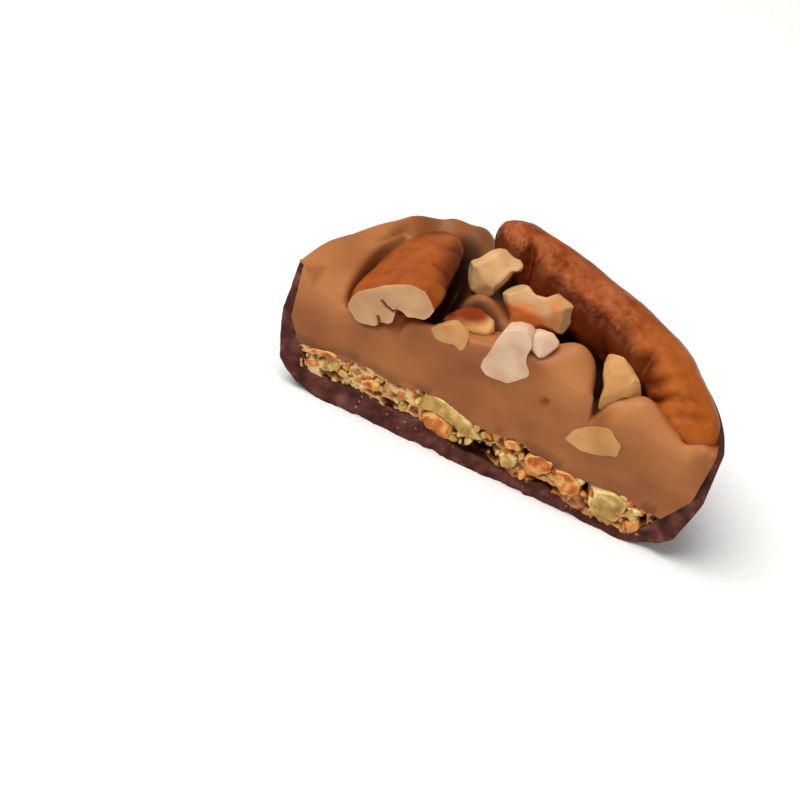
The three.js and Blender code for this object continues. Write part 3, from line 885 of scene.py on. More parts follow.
crunchPieces = {
    "pistachio": [
        [(-7.2, 4.5), (-5.8, 6.2), (-3.8, 6.0), (-1.6, 5.3), (0, 4.6), (0.6, 2.8), (-1.2, 2.8), (-3.2, 4.0),
         (-5.3, 4.55), (-6.8, 3.9)],
        [(11.5, 4.1), (12.5, 4.4), (14.3, 4.7), (15.7, 4.3), (15.9, 2.7), (15.4, 1.6), (13.8, 1.2),
         (12.8, 1.2), (12.0, 2.3)],
        [(2.4, 3.0), (3.1, 3.75), (4.5, 3.3), (4.2, 2.3), (3.2, 1.85)],
        [(-17.3, 3.9), (-16.5, 4.65), (-15.7, 4.3), (-15.5, 3.4), (-16.6, 3.0)],
        [(16.2, 3.9), (17.3, 4.0), (17.6, 3.4), (16.6, 3.3)],
    ],
    "orange": [
        [(-5.9, 3.5), (-4.5, 4.5), (-2.7, 3.6), (-2.2, 1.75), (-4.5, 2.2), (-5.7, 2.35)],
        [(5.2, 4.5), (6.4, 5.1), (7.7, 4.7), (7.9, 3.6), (7.0, 2.6), (5.6, 2.3), (4.8, 3.3)],
        [(7.9, 4.6), (9.5, 4.8), (10.8, 4.3), (11.1, 2.6), (9.7, 1.8), (8.4, 2.3)],
        [(-12.9, 3.8), (-11.8, 4.5), (-10.7, 4.5), (-10.6, 3.7), (-12, 3.25)],
        [(16.1, 2.0), (17.1, 3.2), (17.7, 2.1), (16.9, 0.9)],
        [(-18.9, 5.0), (-17.0, 5.6), (-15.2, 5.5), (-14.9, 4.9), (-16.3, 4.9), (-18.6, 4.4)],
        [(2.2, 4.9), (3.6, 5.2), (4.4, 4.6), (3.3, 3.9), (2.3, 4.2)],
    ],
}


def buildCrunchPieces(kind):
    # one mesh of all the pieces of a kind
    allPoints, allFaces, edges, count = [], [], [], 0
    for n, outline in enumerate(crunchPieces[kind]):
        even = nugget(kind + str(n), outline, 1.5, False, 0.09, 4, 5)
        points = readVectors(even)
        normals = readVectors(even, "normal")
        # painted highlight, in the pale tone, on the sides that turn away from the cut
        edges.append(0.8 * smooth(0.98, 0.7, -normals[:, 1]))
        points += normals * (0.24 * roughNoise(points + 7.7 * n, 0.9, 3))[:, None]
        points[:, 1] = np.maximum(points[:, 1] - 0.12, -0.2)
        allPoints.append(points)
        allFaces += [tuple(count + k for k in p.vertices) for p in even.polygons]
        count += len(points)
        bpy.data.meshes.remove(even)
    piece = makePiece("crunch_" + kind + "_pieces", np.concatenate(allPoints), allFaces,
                      {"edge": np.concatenate(edges)})
    print(piece.name + ":", len(piece.data.polygons), "faces")
    return dress(piece, [kind], "crunch")


# filling

fillingLook = {
    "across": 320, "deep": 110, "upright": 64, "crowdedToCut": 1.25, "crowdedToTop": 1.2,
    "edgeRound": 0.8, "meltedRound": 1.8,    # the top edge of the cut is melted round by this much
    "ripple": 0.09, "ragged": 0.35,
    "overRim": 0.66,           # it runs this far over the rim on the left
    # behind the cut pecan, a corner with painted shade and an end with a little painted shade and no painted
    # light: middle x and y, half widths
    "shadedCorner": (-8.9, 15.6, 1.3, 2.4), "shadedEnd": (-11.5, 15.5, 4, 3.5),
    "pit": (4.75, 10.6, 0.35, 0.5), "pitDepth": 0.5,      # in the cut: middle x and z, half sizes
    "knifeMarks": 0.03, "knifeMarkSize": (7.0, 3.0, 0.8),
}


def runOverRim(points, onCut):
    # over the rim on the left, where the bank is high, with a round shoulder
    x, y, z = points.T      # these follow the points as they move
    reach = fromAxis(x, y)
    over = smooth(cup["rimHeight"] - 0.1, cup["rimHeight"] + 0.08, z) * smooth(19.5, 21.5, reach)
    shoulder = smooth(0, 0.5, fillingTop(x, y) - z)
    push = fillingLook["overRim"] * over * smooth(3, -4, x) * (0.75 + 0.25 * shoulder)
    push = 1 + push / np.maximum(reach, 1)
    points[:, 0] *= push
    outwards = (y + cup["axisInFront"]) * push - cup["axisInFront"]
    points[:, 1] = np.where(onCut | (y < 0.01), y, outwards)


def fillingShades(points, top, onCut, crest):
    # painted shade between the nuts, in the valleys and in a corner, a darker stain where the crunch shows
    # through the cut, and painted light on the melted round edges and the top
    s = fillingLook
    x, y, z = points.T
    hollow = 0 * x
    for valley in valleys:
        away = fromPath(x, y, valley["path"]) / (valley["shade"] * valley["width"])
        hollow = np.maximum(hollow, valley["dark"] * np.exp(-away ** 4) * smooth(0.3, 1.6, y))
    hollow = 0.95 * np.maximum(hollow, 0.55 * mound(x, y, *s["shadedCorner"]))
    shadedEnd = mound(x, y, *s["shadedEnd"])
    low = smooth(1.2, 0.1, z - crunchTop(x, y)) * smooth(0.0, 0.5, softNoise(points, 1.6))
    hollow = np.where(top, np.maximum(hollow, 0.16 * shadedEnd), np.where(onCut, 0.4 * low, 0))
    # painted light on the melted round edges, and a little on the top
    lit = meltedAt(x) * smooth(-5.5, -1.0, z - crest) * np.exp(-(y / 3.5) ** 2)
    poured = 0.6 * lit + (1 - lit) * np.where(top, 0.3 * smooth(0, 1.5, y) * (1 - shadedEnd), 0)
    return {"hollow": hollow, "poured": poured}


def buildFilling():
    s = fillingLook
    share, faces, number = boxSurface(s, ["left", "back", "right", "front", "top"])

    def raggedBottom(x, y):
        spots = np.stack([x, y, 0 * x], 1)
        return crunchTop(x, y) - 0.1 + s["ragged"] * roughNoise(spots, 1.3, 3)

    points = bendToHalfCup(share, lambda z: innerRadius(z) + 0.05, raggedBottom, fillingTop, level)
    x, y, z = points.T      # these follow the points as they move
    v, w = share[:, 1], share[:, 2]
    top = w > 0.9999
    points[:, 2] += np.where(top, s["ripple"] * smooth(0, 1, y) * roughNoise(points, 3.2, 3), 0)
    # melted round edge: the cut and the top share a quarter circle
    onCut = (v < 1e-6) & ~top
    r = s["edgeRound"] + s["meltedRound"] * meltedAt(x)
    r = np.minimum(r, 0.6 * np.maximum(backOf(innerRadius(z), x) - 1, 0)) + 0.001
    crest = fillingTop(x, 0 * y)
    column = np.rint((share[:, 0] + 1) / 2 * s["across"]).astype(int)
    below = points[number[column, 0, -1], 2] - z
    arc = np.where(top, 0.25 + 0.75 * np.clip(y / r, 0, 1), 0.25 * np.clip(1 - below / r, 0, 1))
    turn = arc * math.pi / 2
    rounded = (top & (y < r)) | (onCut & (arc > 0))
    points[:, 1] = np.where(rounded, r * (1 - np.cos(turn)), points[:, 1])
    start = np.where(top, points[:, 2], points[:, 2] + below)
    points[:, 2] = np.where(rounded, start - r + r * np.sin(turn), points[:, 2])
    runOverRim(points, onCut)
    shades = fillingShades(points, top, onCut, crest)
    # knife marks and a small pit on the cut
    dent = s["pitDepth"] * mound(x, z, *s["pit"])
    marks = s["knifeMarks"] * roughNoise(points, s["knifeMarkSize"], 3)
    points[:, 1] += np.where(onCut, (dent + marks) * smooth(0.2, 1.5, below), 0)
    loop = np.concatenate([number[:, 0, 0], number[-1, 1:, 0], number[-2::-1, -1, 0], number[0, -2:0:-1, 0]])
    allFaces = faces.tolist() + [loop[::-1].tolist()]
    filling = makePiece("filling_milk_chocolate", points, allFaces, shades)
    return dress(filling, ["filling"], "filling")


filling = buildFilling()
print("filling:", len(filling.data.polygons), "faces")


# pecans

cutPecanLook = {
    "halfLength": 14.5, "halfWidth": 4.6, "crown": 2.3, "belly": 2.2, "blunt": (2.6, 2.6),
    "lobes": 3, "phase": 0.5, "middle": (-12.3, 0, 13.4), "roll": -0.5, "climb": 0.06,
    "rows": 170, "around": 260, "fine": 0.02, "band": 0.1, "farRipple": 0.03, "lumps": 0.08,
    "reliefOver": 0.5,         # the relief that takes the skin from dark to pale
    # painted shade: its side is darker below these degrees up, by this much
    "shadeUnder": (62, 15), "shadeStrength": 0.5,    # its side is darker below these degrees up
    # valleys across its side: share along at 40 degrees up it, share at its crown, depth, width,
    # and the angle at which they fade out
    "furrows": [(0.16, 0.10, 0.10, 0.35, 90), (0.34, 0.44, 0.14, 0.5, 110), (0.62, 0.58, 0.10, 0.6, 90)],
    # outline of the cut flesh (x, z); it starts at the left end and goes over the top
    "face": [
        (-16.2, 11.4), (-16.1, 12.2), (-15.7, 13.2), (-15.1, 13.7), (-14.2, 14.4), (-13.4, 15.1),
        (-12.2, 15.8), (-11.1, 16.3), (-10.4, 16.3), (-9.6, 16.2), (-9.1, 15.8), (-8.6, 15.3),
        (-8.2, 14.8), (-8.4, 14.0), (-8.8, 13.4), (-9.7, 13.2), (-10.4, 12.9), (-11.0, 13.2),
        (-11.5, 13.2), (-11.7, 12.8), (-11.6, 12.2), (-11.6, 11.7), (-11.9, 11.3), (-12.5, 11.2),
        (-12.8, 11.1), (-12.9, 10.6), (-13.2, 10.4), (-14.0, 10.2), (-14.6, 10.1), (-15.1, 10.2),
        (-15.5, 10.6), (-16.0, 10.9)],
    "corners": (12, 6, 0, -14),   # its right end, top, left end and notch in that list
    "spine": [(-14.6, 11.9), (-10.2, 14.5)],    # the line through the middle of the flesh
    "crackWidth": 0.13, "crackDepth": 0.5,
    "cracks": [[(-11.5, 13.0), (-11.9, 12.75), (-12.7, 12.95), (-13.2, 13.3)],
               [(-13.1, 11.5), (-12.8, 11.0)]],
}
backPecanLook = {
    "halfLength": 14.5, "halfWidth": 4.2, "crown": 3.4, "belly": 2.5, "blunt": (4.4, 3.1),
    "lobes": 5, "phase": 1.2,
    # its middle line from the left end (-1) to the right end (1): cubic curves, constant first
    "x": (6.06, 14.66, 0.66, -0.72), "y": (11.32, -5.8, -3.43, -0.59), "z": (14.73, -1.23, 0.05, -1.47),
    "rows": 340, "around": 220, "fine": 0.34, "band": 1.0, "farRipple": 0.08, "lumps": 0.20,
    # painted shade: its side is darker below these degrees up, by this much
    "reliefOver": 1.1, "shadeUnder": (72, 22), "shadeStrength": 0.8,
    "furrows": [
        (-0.60, -0.69, 0.95, 0.6, 70), (-0.34, -0.40, 0.55, 0.8, 45), (-0.12, -0.2, 0.30, 0.9, 40),
        (0.09, -0.02, 0.80, 0.8, 58), (0.27, 0.20, 0.20, 0.8, 75), (0.50, 0.43, 0.90, 0.6, 76),
        (0.61, 0.66, 0.40, 0.4, 92), (0.72, 0.79, 0.46, 0.4, 97), (0.84, 0.88, 0.36, 0.35, 95)],
}


def pecanSection(s, along, angle):
    # one ring of a pecan half: crown up, cleft below
    side, up = np.cos(angle), np.sin(angle)
    blunt = np.where(along < 0, s["blunt"][0], s["blunt"][1])
    taper = np.sqrt(np.maximum(1 - np.abs(along) ** blunt, 0))
    lobe = 1 + 0.06 * np.sin(s["lobes"] * np.pi * along + s["phase"]) * side ** 2
    below = 1 - 0.62 * np.exp(-(side / 0.28) ** 2)
    tall = np.where(up < 0, s["belly"] * below, s["crown"])
    parts = (s["halfWidth"] * taper * lobe * side, s["halfLength"] * along, tall * taper * up)
    return np.stack(np.broadcast_arrays(*parts), -1)


def pecanBody(s, start):
    # rings from start to the far tip: points, faces, share along and angle of each, unrolled
    # places, and the numbers of the points
    rows, around = s["rows"], s["around"]
    turn = np.linspace(math.asin(start) if start > -1 else -math.pi / 2, math.pi / 2, rows + 1)
    along = np.sin(turn)
    angle = np.linspace(0, 2 * math.pi, around, endpoint=False)
    ring = pecanSection(s, along[:, None], angle[None, :])
    number = np.arange((rows + 1) * around).reshape(rows + 1, around)
    faces = quads(np.concatenate([number, number[:, :1]], 1))
    a = np.repeat(along, around)
    t = np.tile(angle, rows + 1)
    unrolled = np.stack([t * s["halfWidth"], a * s["halfLength"]], 1)
    return ring.reshape(-1, 3), faces, a, t, unrolled, number


def upSide(t):
    # degrees up the side that faces the cut: 0 at its middle line, 90 at the crown
    return (np.degrees(t) + 90) % 360 - 90


def pecanRelief(s, points, a, t):
    # valleys between the lobes of its side, fading towards the crown, and a wrinkled band on top
    degrees = upSide(t)
    height = np.zeros(len(points))
    drift = 0.35 * softNoise(points, 2.2) + 0.15 * softNoise(points, 0.7)
    uneven = 0.8 + 0.5 * softNoise(points + 3.3, 2.2)
    for low, high, depth, width, fade in s["furrows"]:
        at = low + (high - low) * np.clip((degrees - 40) / 50, -1, 1.4)
        away = (a - at) * s["halfLength"] + drift
        across = smooth(-60, -15, degrees) * smooth(fade + 18, fade - 22, degrees)
        height -= depth * uneven * across * np.exp(-(away / width) ** 2)
    far = smooth(120, 150, degrees) * smooth(240, 210, degrees)
    height += s["farRipple"] * far * np.sin(15 * a + 1.5 * softNoise(points, 4.0))
    band = s["band"] * smooth(30, 50, degrees) * smooth(104, 88, degrees) * smooth(0.5, 0.2, a)
    wrinkles = roughNoise(points, (0.7, 0.5, 0.7), 3)
    height += s["fine"] * np.maximum(wrinkles, -0.4) * (0.15 + 0.85 * band)
    height += 0.05 * softNoise(points * np.array([1, 0.15, 1]) + 5.1, 0.9)
    height += s["lumps"] * roughNoise(points, 2.4, 2)
    return height * smooth(1.0, 0.93, np.abs(a)), band


def mergeTips(piece):
    # the rings at its tips shrink to one point each
    mesh = bmesh.new()
    mesh.from_mesh(piece.data)
    bmesh.ops.remove_doubles(mesh, verts=mesh.verts, dist=1e-7)
    mesh.to_mesh(piece.data)
    mesh.free()


def pushOut(points, faces, height):
    # moves points along the surface's normals by a height in millimetres
    mesh = bpy.data.meshes.new("working")
    mesh.from_pydata(points.tolist(), [], faces.tolist())
    mesh.update()
    moved = points + readVectors(mesh, "normal") * height[:, None]
    bpy.data.meshes.remove(mesh)
    return moved


def buildBackPecan():
    s = backPecanLook
    points, faces, a, t, unrolled, _ = pecanBody(s, -1)
    height, band = pecanRelief(s, points, a, t)
    points = pushOut(points, faces, height)
    # bent along the back rim
    along = points[:, 1] / s["halfLength"]
    powers = np.stack([along ** 0, along, along ** 2, along ** 3])
    slopes = np.stack([0 * along, along ** 0, 2 * along, 3 * along ** 2])
    runX, runY = s["x"] @ slopes, s["y"] @ slopes
    length = np.hypot(runX, runY)
    side = points[:, 0]
    placed = np.stack([
        s["x"] @ powers + side * runY / length,
        s["y"] @ powers - side * runX / length,
        s["z"] @ powers + points[:, 2],
    ], 1)
    # it stays inside the wall
    reach = fromAxis(placed[:, 0], placed[:, 1])
    wall = np.where(placed[:, 2] < cup["rimHeight"] + 0.1, innerRadius(placed[:, 2]) + 0.1, 99)
    inward = np.minimum(1, wall / reach)
    placed[:, 0] *= inward
    placed[:, 1] = (placed[:, 1] + cup["axisInFront"]) * inward - cup["axisInFront"]
    # painted shade on the lower side of the skin, taken off the relief
    shade = smooth(*s["shadeUnder"], upSide(t)) * smooth(0.8, 0.4, a)
    relief = 0.5 + height / s["reliefOver"] - s["shadeStrength"] * shade
    attributes = {"relief": relief, "band": band, "warm": smooth(0.0, 0.6, a)}
    pecan = makePiece("pecan_back_kernel", placed, faces, attributes, unrolled)
    mergeTips(pecan)
    return dress(pecan, ["pecanSkin"], "pecan_back")


def faceRing(s, angle):
    # the outline of the cut flesh, with its ends, top and notch at the section's own angles
    outline = np.array(s["face"])
    right, top, left, notch = s["corners"]
    runs = [np.arange(right, top - 1, -1), np.arange(top, left - 1, -1),
            np.arange(left, notch - 1, -1), np.arange(len(outline) + notch, right - 1, -1)]
    ring = np.empty((len(angle), 2))
    for quarter, run in enumerate(runs):
        path = outline[run]
        steps = np.concatenate([[0], np.cumsum(np.hypot(*np.diff(path, axis=0).T))])
        inside = (angle >= quarter * math.pi / 2 - 1e-9) & (angle < (quarter + 1) * math.pi / 2 - 1e-9)
        share = (angle[inside] / (math.pi / 2) - quarter) * steps[-1]
        ring[inside] = np.stack([np.interp(share, steps, path[:, k]) for k in (0, 1)], 1)
    for _ in range(2):
        ring = 0.5 * ring + 0.25 * (np.roll(ring, 1, 0) + np.roll(ring, -1, 0))
    return ring


def buildCutPecan():
    s = cutPecanLook
    points, faces, a, t, unrolled, number = pecanBody(s, 0.0)
    height, band = pecanRelief(s, points, a, t)
    height *= smooth(0.0, 0.05, a)
    points = pushOut(points, faces, height)
    turned = np.array(Matrix.Rotation(s["roll"], 3, "Y"))
    points = points @ turned.T
    points[:, 2] += math.tan(s["climb"]) * points[:, 1]
    points += np.array(s["middle"])
    # the section takes the outline of the cut flesh towards the cut
    angle = t[number[0]]
    ring = faceRing(s, angle)
    change = ring - points[number[0]][:, [0, 2]]
    fade = np.exp(-np.maximum(points[:, 1], 0) / 1.8)
    points[:, 0] += np.tile(change[:, 0], s["rows"] + 1) * fade
    points[:, 2] += np.tile(change[:, 1], s["rows"] + 1) * fade
    rim = points[number[0]]
    # the cut flesh: rings that shrink to a line through its middle, with cracks
    rings = 46
    shrink = np.linspace(1, 0, rings + 1)[1:]
    endX, endZ = np.array(s["spine"]).T
    spine = np.stack([np.interp(rim[:, 0], endX, endX), 0 * rim[:, 0],
                      np.interp(rim[:, 0], endX, endZ)], 1)
    inner = spine + (rim[None] - spine) * shrink[:, None, None]
    inner = inner.reshape(-1, 3)
    inner[:, 1] = 0.03 * roughNoise(inner, 1.2, 2)
    crack = np.zeros(len(inner))
    for path in s["cracks"]:
        away = fromPath(inner[:, 0], inner[:, 2], path) / s["crackWidth"]
        crack = np.maximum(crack, np.exp(-away ** 2))
    inner[:, 1] += s["crackDepth"] * crack
    cap = len(points) + np.arange(len(inner)).reshape(rings, -1)
    capGrid = np.concatenate([number[:1], cap], 0)
    capFaces = quads(np.concatenate([capGrid, capGrid[:, :1]], 1))[:, ::-1]
    allPoints = np.concatenate([points, inner])
    allPoints[:, 1] -= 0.1
    allFaces = np.concatenate([faces, capFaces])
    # painted shade on the lower side and towards the far end
    shadedFarEnd = 0.55 * smooth(0.6, 0.95, a)
    shade = np.maximum(smooth(*s["shadeUnder"], upSide(t)), shadedFarEnd) * smooth(0.05, 0.3, a)
    skin = 0.5 + height / s["reliefOver"] - s["shadeStrength"] * shade
    relief = np.concatenate([skin, 0.5 + 0 * crack])
    # painted shade in the cracks and at the lower left of the flesh
    lower = smooth(-13.0, -15.5, inner[:, 0]) * smooth(12.5, 11.0, inner[:, 2])
    attributes = {
        "relief": relief, "band": np.concatenate([band, 0 * crack]), "warm": 0.55 + 0 * relief,
        "blush": np.concatenate([0 * height, np.clip(crack + 0.25 * lower, 0, 1)]),
    }
    places = np.concatenate([unrolled, inner[:, [0, 2]]])
    pecan = makePiece("pecan_cut_kernel", allPoints, allFaces, attributes, places)
    onFlesh = np.arange(len(allFaces)) >= len(faces)
    pecan.data.polygons.foreach_set("material_index", onFlesh.astype(int))
    mergeTips(pecan)
    return dress(pecan, ["pecanSkin", "pecanFlesh"], "pecan_cut")


backPecan = buildBackPecan()
cutPecan = buildCutPecan()
print("pecans:", len(backPecan.data.polygons), "and", len(cutPecan.data.polygons), "faces")


# chopped nuts: outline of the shown face (along, up it), its middle, how far it leans back

chunkLook = {
    "voxel": 0.12, "lumps": 0.10, "grain": 0.03,
    "nut_a": {"at": (-5.47, 8.3, 16.5), "lean": 35, "depth": 4.2, "finish": "cream", "outline": [
        (-2.4, -1.4), (-2.7, -0.6), (-2.5, 0.2), (-1.7, 0.9), (-1.1, 1.8), (-0.5, 2.4), (0.2, 2.6),
        (1.2, 2.2), (2.0, 2.2), (2.4, 1.8), (2.5, 1.2), (1.8, 0.9), (1.6, -0.1), (1.3, -0.9),
        (0.9, -1.5), (0.9, -2.2), (0.4, -2.5), (-0.6, -2.7), (-1.3, -2.6), (-1.9, -2.2)]},
    "nut_b": {"at": (0.1, 6.8, 15.5), "lean": 35, "depth": 3.8, "finish": "cream", "outline": [
        (-3.9, 0.4), (-3.8, 1.0), (-3.3, 1.6), (-2.3, 1.9), (-1.6, 1.7), (-0.9, 1.4), (-0.2, 1.4),
        (0.4, 1.5), (0.8, 2.1), (1.3, 2.7), (2.1, 2.8), (2.7, 2.2), (3.5, 1.7), (3.6, 0.9), (3.4, 0),
        (3.2, -1.0), (2.9, -1.3), (2.1, -1.2), (1.0, -1.3), (0, -2.0), (-1.1, -2.5), (-2.0, -2.7),
        (-2.2, -1.8), (-2.8, -1.1), (-3.4, -0.6)],
        "stains": [[(-3.0, -0.7), (-1.2, 0.1), (0.7, -0.6), (2.1, -1.3), (0, -2.4), (-2.2, -3.0)],
                   [(0.7, 1.3), (1.3, 1.5), (1.9, 1.1), (1.5, 0.7), (1.9, 0.2), (1.9, -0.9), (1.3, 0.5)]]},
    "nut_c": {"at": (-0.1, 0, 13.5), "lean": 0, "depth": 4, "finish": "white", "outline": [
        (-2.1, -2.3), (-2.1, -1.4), (-1.8, 0), (-1.5, 1.3), (-1.3, 2.4), (-0.4, 3.0), (0.7, 3.3),
        (1.4, 2.9), (1.8, 2.0), (1.6, 1.0), (1.8, 0.1), (2.4, -0.5), (2.5, -1.0), (1.8, -1.7),
        (1.4, -2.2), (0.7, -2.7), (-0.3, -2.8), (-1.3, -2.9)]},
    "nut_d": {"at": (2.6, 0.8, 16.0), "lean": 30, "depth": 3, "finish": "white", "outline": [
        (-1.8, 0), (-1.8, 0.6), (-1.3, 1.2), (-0.7, 1.2), (0.2, 1.3), (1.1, 0.8), (1.2, 0.3),
        (0.9, -0.5), (0.4, -1.3), (0, -1.6), (-0.7, -1.3), (-1.5, -0.8)]},
    "nut_e": {"at": (10.2, 1.5, 15.2), "lean": 30, "depth": 3.2, "finish": "tan", "outline": [
        (-2.0, 2.0), (-1.3, 2.3), (-0.5, 2.3), (0.6, 1.7), (1.7, 1.0), (2.5, -0.3), (2.6, -0.8),
        (1.8, -0.9), (1.1, -1.1), (0.5, -2.0), (-0.1, -3.1), (-0.6, -3.3), (-0.9, -2.3),
        (-1.1, -1.1), (-1.5, -0.2), (-1.9, 0.8)]},
    "nut_f": {"at": (10.6, 0, 8.6), "lean": 0, "depth": 3, "finish": "tan", "outline": [
        (-2.8, -0.7), (-2.3, 0.5), (-1.6, 1.4), (-0.9, 1.8), (0.3, 2.4), (0.9, 2.4), (1.5, 1.7),
        (2.4, 1.3), (2.3, 0.7), (2.4, -0.1), (1.7, -0.3), (1.1, -0.7), (0.2, -0.9), (-1.1, -1.1)]},
    "nut_g": {"at": (-4.9, 2.3, 14.3), "lean": 55, "depth": 1.8, "finish": "skin", "outline": [
        (-3.1, -0.4), (-1.8, 0.4), (-0.7, 1.3), (1.0, 1.8), (1.6, 1.7), (2.1, 0.8), (2.4, -0.1),
        (2.2, -0.9), (1.8, -1.0), (0.9, -1.0), (-0.1, -1.3), (-1.2, -0.9), (-2.7, -1.1)],
        "stains": [[(-3.6, -0.4), (-2.0, 0.9), (-0.7, 1.8), (1.2, 2.2), (1.5, 1.0), (1.2, 0.2),
                    (0.6, -0.4), (-0.4, -0.8), (-1.3, -0.8), (-3.2, -1.3)]]},
    "nut_h": {"at": (-5.8, 0, 13.2), "lean": 0, "depth": 2.2, "finish": "tan", "outline": [
        (-2.2, -0.4), (-1.5, 0.3), (-1.0, 0.7), (-0.3, 1.1), (0.7, 0.7), (1.6, 0.3), (1.6, -0.6),
        (1.4, -1.3), (1.0, -1.3), (0.6, -0.9), (-0.6, -1.2), (-1.5, -1.2)]},
}


def remeshed(mesh, voxel, name):
    # even small faces all over, by the Remesh modifier, then read back as a plain mesh
    holder = addObject(name, mesh)
    modifier = holder.modifiers.new("even", "REMESH")
    modifier.mode = "VOXEL"
    modifier.voxel_size = voxel
    return applied(holder)


def relax(mesh, rounds):
    # wears its edges soft
    work = bmesh.new()
    work.from_mesh(mesh)
    for _ in range(rounds):
        bmesh.ops.smooth_vert(work, verts=work.verts, factor=0.5, use_axis_x=True, use_axis_y=True,
                              use_axis_z=True)
    work.to_mesh(mesh)
    work.free()


def nugget(name, outline, depth, flush, voxel, facets, rounds):
    # a broken piece with this front outline: sides, a smaller back, flat facets, soft edges
    outline = np.array(outline, float)
    centre = outline.mean(0)
    half = len(outline)
    rng = np.random.default_rng(sum(map(ord, name)))
    levels = [(0.0, 1.0 if flush else 0.86), (0.22 * depth, 1.0), (0.62 * depth, 0.94), (depth, 0.66)]
    rings = []
    for back, size in levels:
        jitter = 0 if back == 0 else rng.uniform(-0.1, 0.1, (half, 2))
        ring = centre + (outline - centre) * size + jitter
        rings.append(np.column_stack([ring[:, 0], np.full(half, back), ring[:, 1]]))
    work = bmesh.new()
    verts = [work.verts.new(p) for p in np.concatenate(rings)]
    for step in range(len(levels) - 1):
        for k in range(half):
            n = (k + 1) % half
            a, b = step * half, (step + 1) * half
            work.faces.new((verts[a + k], verts[b + k], verts[b + n], verts[a + n]))
    work.faces.new(verts[:half])
    work.faces.new(verts[-half:][::-1])
    bmesh.ops.triangulate(work, faces=work.faces)
    bmesh.ops.recalc_face_normals(work, faces=work.faces)
    mesh = bpy.data.meshes.new(name)
    work.to_mesh(mesh)
    work.free()
    even = remeshed(mesh, voxel, name)
    bpy.data.meshes.remove(mesh)
    points = readVectors(even)
    middle = points.mean(0)
    for _ in range(facets):
        slant = rng.normal(size=3) * np.array([1, 0.4, 1]) - np.array([0, 0.9, 0])
        slant /= np.linalg.norm(slant)
        reach = (points - middle) @ slant
        limit = np.quantile(reach, 0.93)
        points -= np.maximum(reach - limit, 0)[:, None] * slant
    even.vertices.foreach_set("co", points.astype(np.float32).ravel())
    relax(even, rounds)
    return even


def insidePath(x, z, path):
    # 1 inside a closed outline and 0 outside it, with a soft edge
    closed = list(path) + [path[0]]
    crossings = np.zeros(np.shape(x), int)
    for (ax, az), (bx, bz) in zip(closed[:-1], closed[1:]):
        if az != bz:
            spans = (az > z) != (bz > z)
            crossings += spans & (x < ax + (bx - ax) * (z - az) / (bz - az))
    away = fromPath(x, z, closed) * np.where(crossings % 2 == 1, 1, -1)
    return smooth(-0.6, 0.6, away)


def buildChunk(name):
    s = chunkLook[name]
    flush = s["at"][1] == 0
    even = nugget(name, s["outline"], s["depth"], flush, chunkLook["voxel"], 0 if flush else 5, 9)
    points = readVectors(even)
    normals = readVectors(even, "normal")
    seed = 3.1 * len(s["outline"]) + s["at"][0]
    lumps = chunkLook["lumps"] * roughNoise(points + seed, 1.9, 2)
    lumps += chunkLook["grain"] * roughNoise(points, 0.5, 2)
    points = points + normals * lumps[:, None]
    blush = np.zeros(len(points))
    wobble = 0.15 * roughNoise(points, 0.8, 2)
    for stain in s.get("stains", []):
        blush = np.maximum(blush, insidePath(points[:, 0] + wobble, points[:, 2] + wobble, stain))
    lean = math.radians(s["lean"])
    tilt = np.array(Matrix.Rotation(-lean, 3, "X"))
    placed = points @ tilt.T + np.array(s["at"])
    if flush:
        placed[:, 1] = np.maximum(placed[:, 1] - 0.4, -0.08 + 0.04 * roughNoise(placed, 1.6, 2))
    faces = [tuple(p.vertices) for p in even.polygons]
    piece = makePiece(name + "_chunk", placed, faces, {"blush": blush})
    bpy.data.meshes.remove(even)
    return dress(piece, [s["finish"]], name)


chunks = [buildChunk(name) for name in chunkLook if name.startswith("nut_")]
print("chopped nuts:", len(chunks), "pieces,", sum(len(c.data.polygons) for c in chunks), "faces")
for kind in crunchPieces:
    buildCrunchPieces(kind)


# camera, light and floor

view = {
    "azimuth": 6.24, "elevation": 32.0, "roll": 21.54, "distance": 250.0,
    "target": (0, 8, 6.6),    # millimetres, cut at y = 0
    "aside": (10.93, 2.245),  # the target stands this far right of and above the middle of the picture
    "lens": 114.6,
}


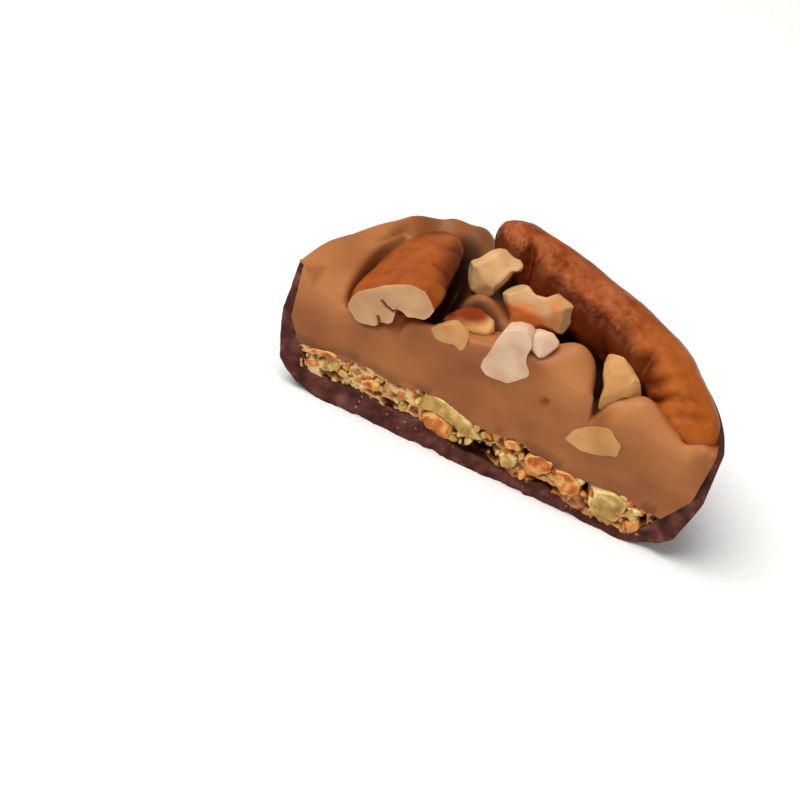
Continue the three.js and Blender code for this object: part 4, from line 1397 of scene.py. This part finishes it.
def placeCamera():
    az, el, roll = (math.radians(view[key]) for key in ("azimuth", "elevation", "roll"))
    back = Vector((math.sin(az) * math.cos(el), -math.cos(az) * math.cos(el), math.sin(el)))
    right = (-back).cross(Vector((0, 0, 1))).normalized()
    up = right.cross(-back)
    sideways = right * math.cos(roll) + up * math.sin(roll)
    upwards = -right * math.sin(roll) + up * math.cos(roll)
    target = Vector(view["target"]) * 0.001 + Vector((0, cutY, 0))
    place = target + back * view["distance"] * 0.001
    aim = target - (sideways * view["aside"][0] + upwards * view["aside"][1]) * 0.001
    backward = (place - aim).normalized()
    sideways = (sideways - backward * sideways.dot(backward)).normalized()
    upwards = backward.cross(sideways)
    data = bpy.data.cameras.new("camera")
    data.lens = view["lens"]
    data.sensor_width = 36
    data.clip_start = 0.01
    data.clip_end = 10
    camera = addObject("camera", data)
    rotation = Matrix((sideways, upwards, backward)).transposed()
    camera.matrix_world = Matrix.Translation(place) @ rotation.to_4x4()
    bpy.context.scene.camera = camera


placeCamera()


# direction from the middle of the half, metres and watts
softboxes = {
    "softboxAbove": {"from": (-0.34, -0.22, 0.90), "distance": 0.60, "size": 0.50, "watts": 4.7},
    "softboxFront": {"from": (0.35, -1.0, 0.45), "distance": 0.60, "size": 0.40, "watts": 0.5},
}
middleOfHalf = Vector((0, 0, 0.007))


def addSoftbox(name):
    # a square area light that faces the middle of the half
    s = softboxes[name]
    data = bpy.data.lights.new(name, "AREA")
    data.shape = "SQUARE"
    data.size = s["size"]
    data.energy = s["watts"]
    light = addObject(name, data)
    place = middleOfHalf + Vector(s["from"]).normalized() * s["distance"]
    light.location = place
    light.rotation_euler = (middleOfHalf - place).to_track_quat("-Z", "Y").to_euler()


for name in softboxes:
    addSoftbox(name)

world = bpy.data.worlds.new("studio")
world.use_nodes = True
background = world.node_tree.nodes["Background"].inputs
background["Color"].default_value = colour("#FBFAF8")
background["Strength"].default_value = 0.32
bpy.context.scene.world = world
bpy.context.scene.view_settings.view_transform = "Standard"


def paintedFloor():
    # matt white painted board
    material, tree, shader = newMaterial("matWhiteBoard", {"Roughness": 0.7})
    place = addNode(tree, "ShaderNodeTexCoord")
    grain = addNode(tree, "ShaderNodeTexNoise", {"Scale": 900.0, "Detail": 2.0},
                    {"Vector": place.outputs["Object"]})
    tone = addNode(tree, "ShaderNodeValToRGB", {"stops": [(0.3, "#F1F0EE"), (0.7, "#F4F3F1")]},
                   {"Fac": grain.outputs["Fac"]})
    tree.links.new(tone.outputs["Color"], shader.inputs["Base Color"])
    return material


def makeFloor():
    mesh = bpy.data.meshes.new("floor")
    half = 1.5    # metres
    corners = [(-half, -half, 0), (half, -half, 0), (half, half, 0), (-half, half, 0)]
    mesh.from_pydata(corners, [], [(0, 1, 2, 3)])
    mesh.materials.append(paintedFloor())
    floor = addObject("floor", mesh)


makeFloor()
print("camera, light and floor placed")

bpy.context.view_layer.update()
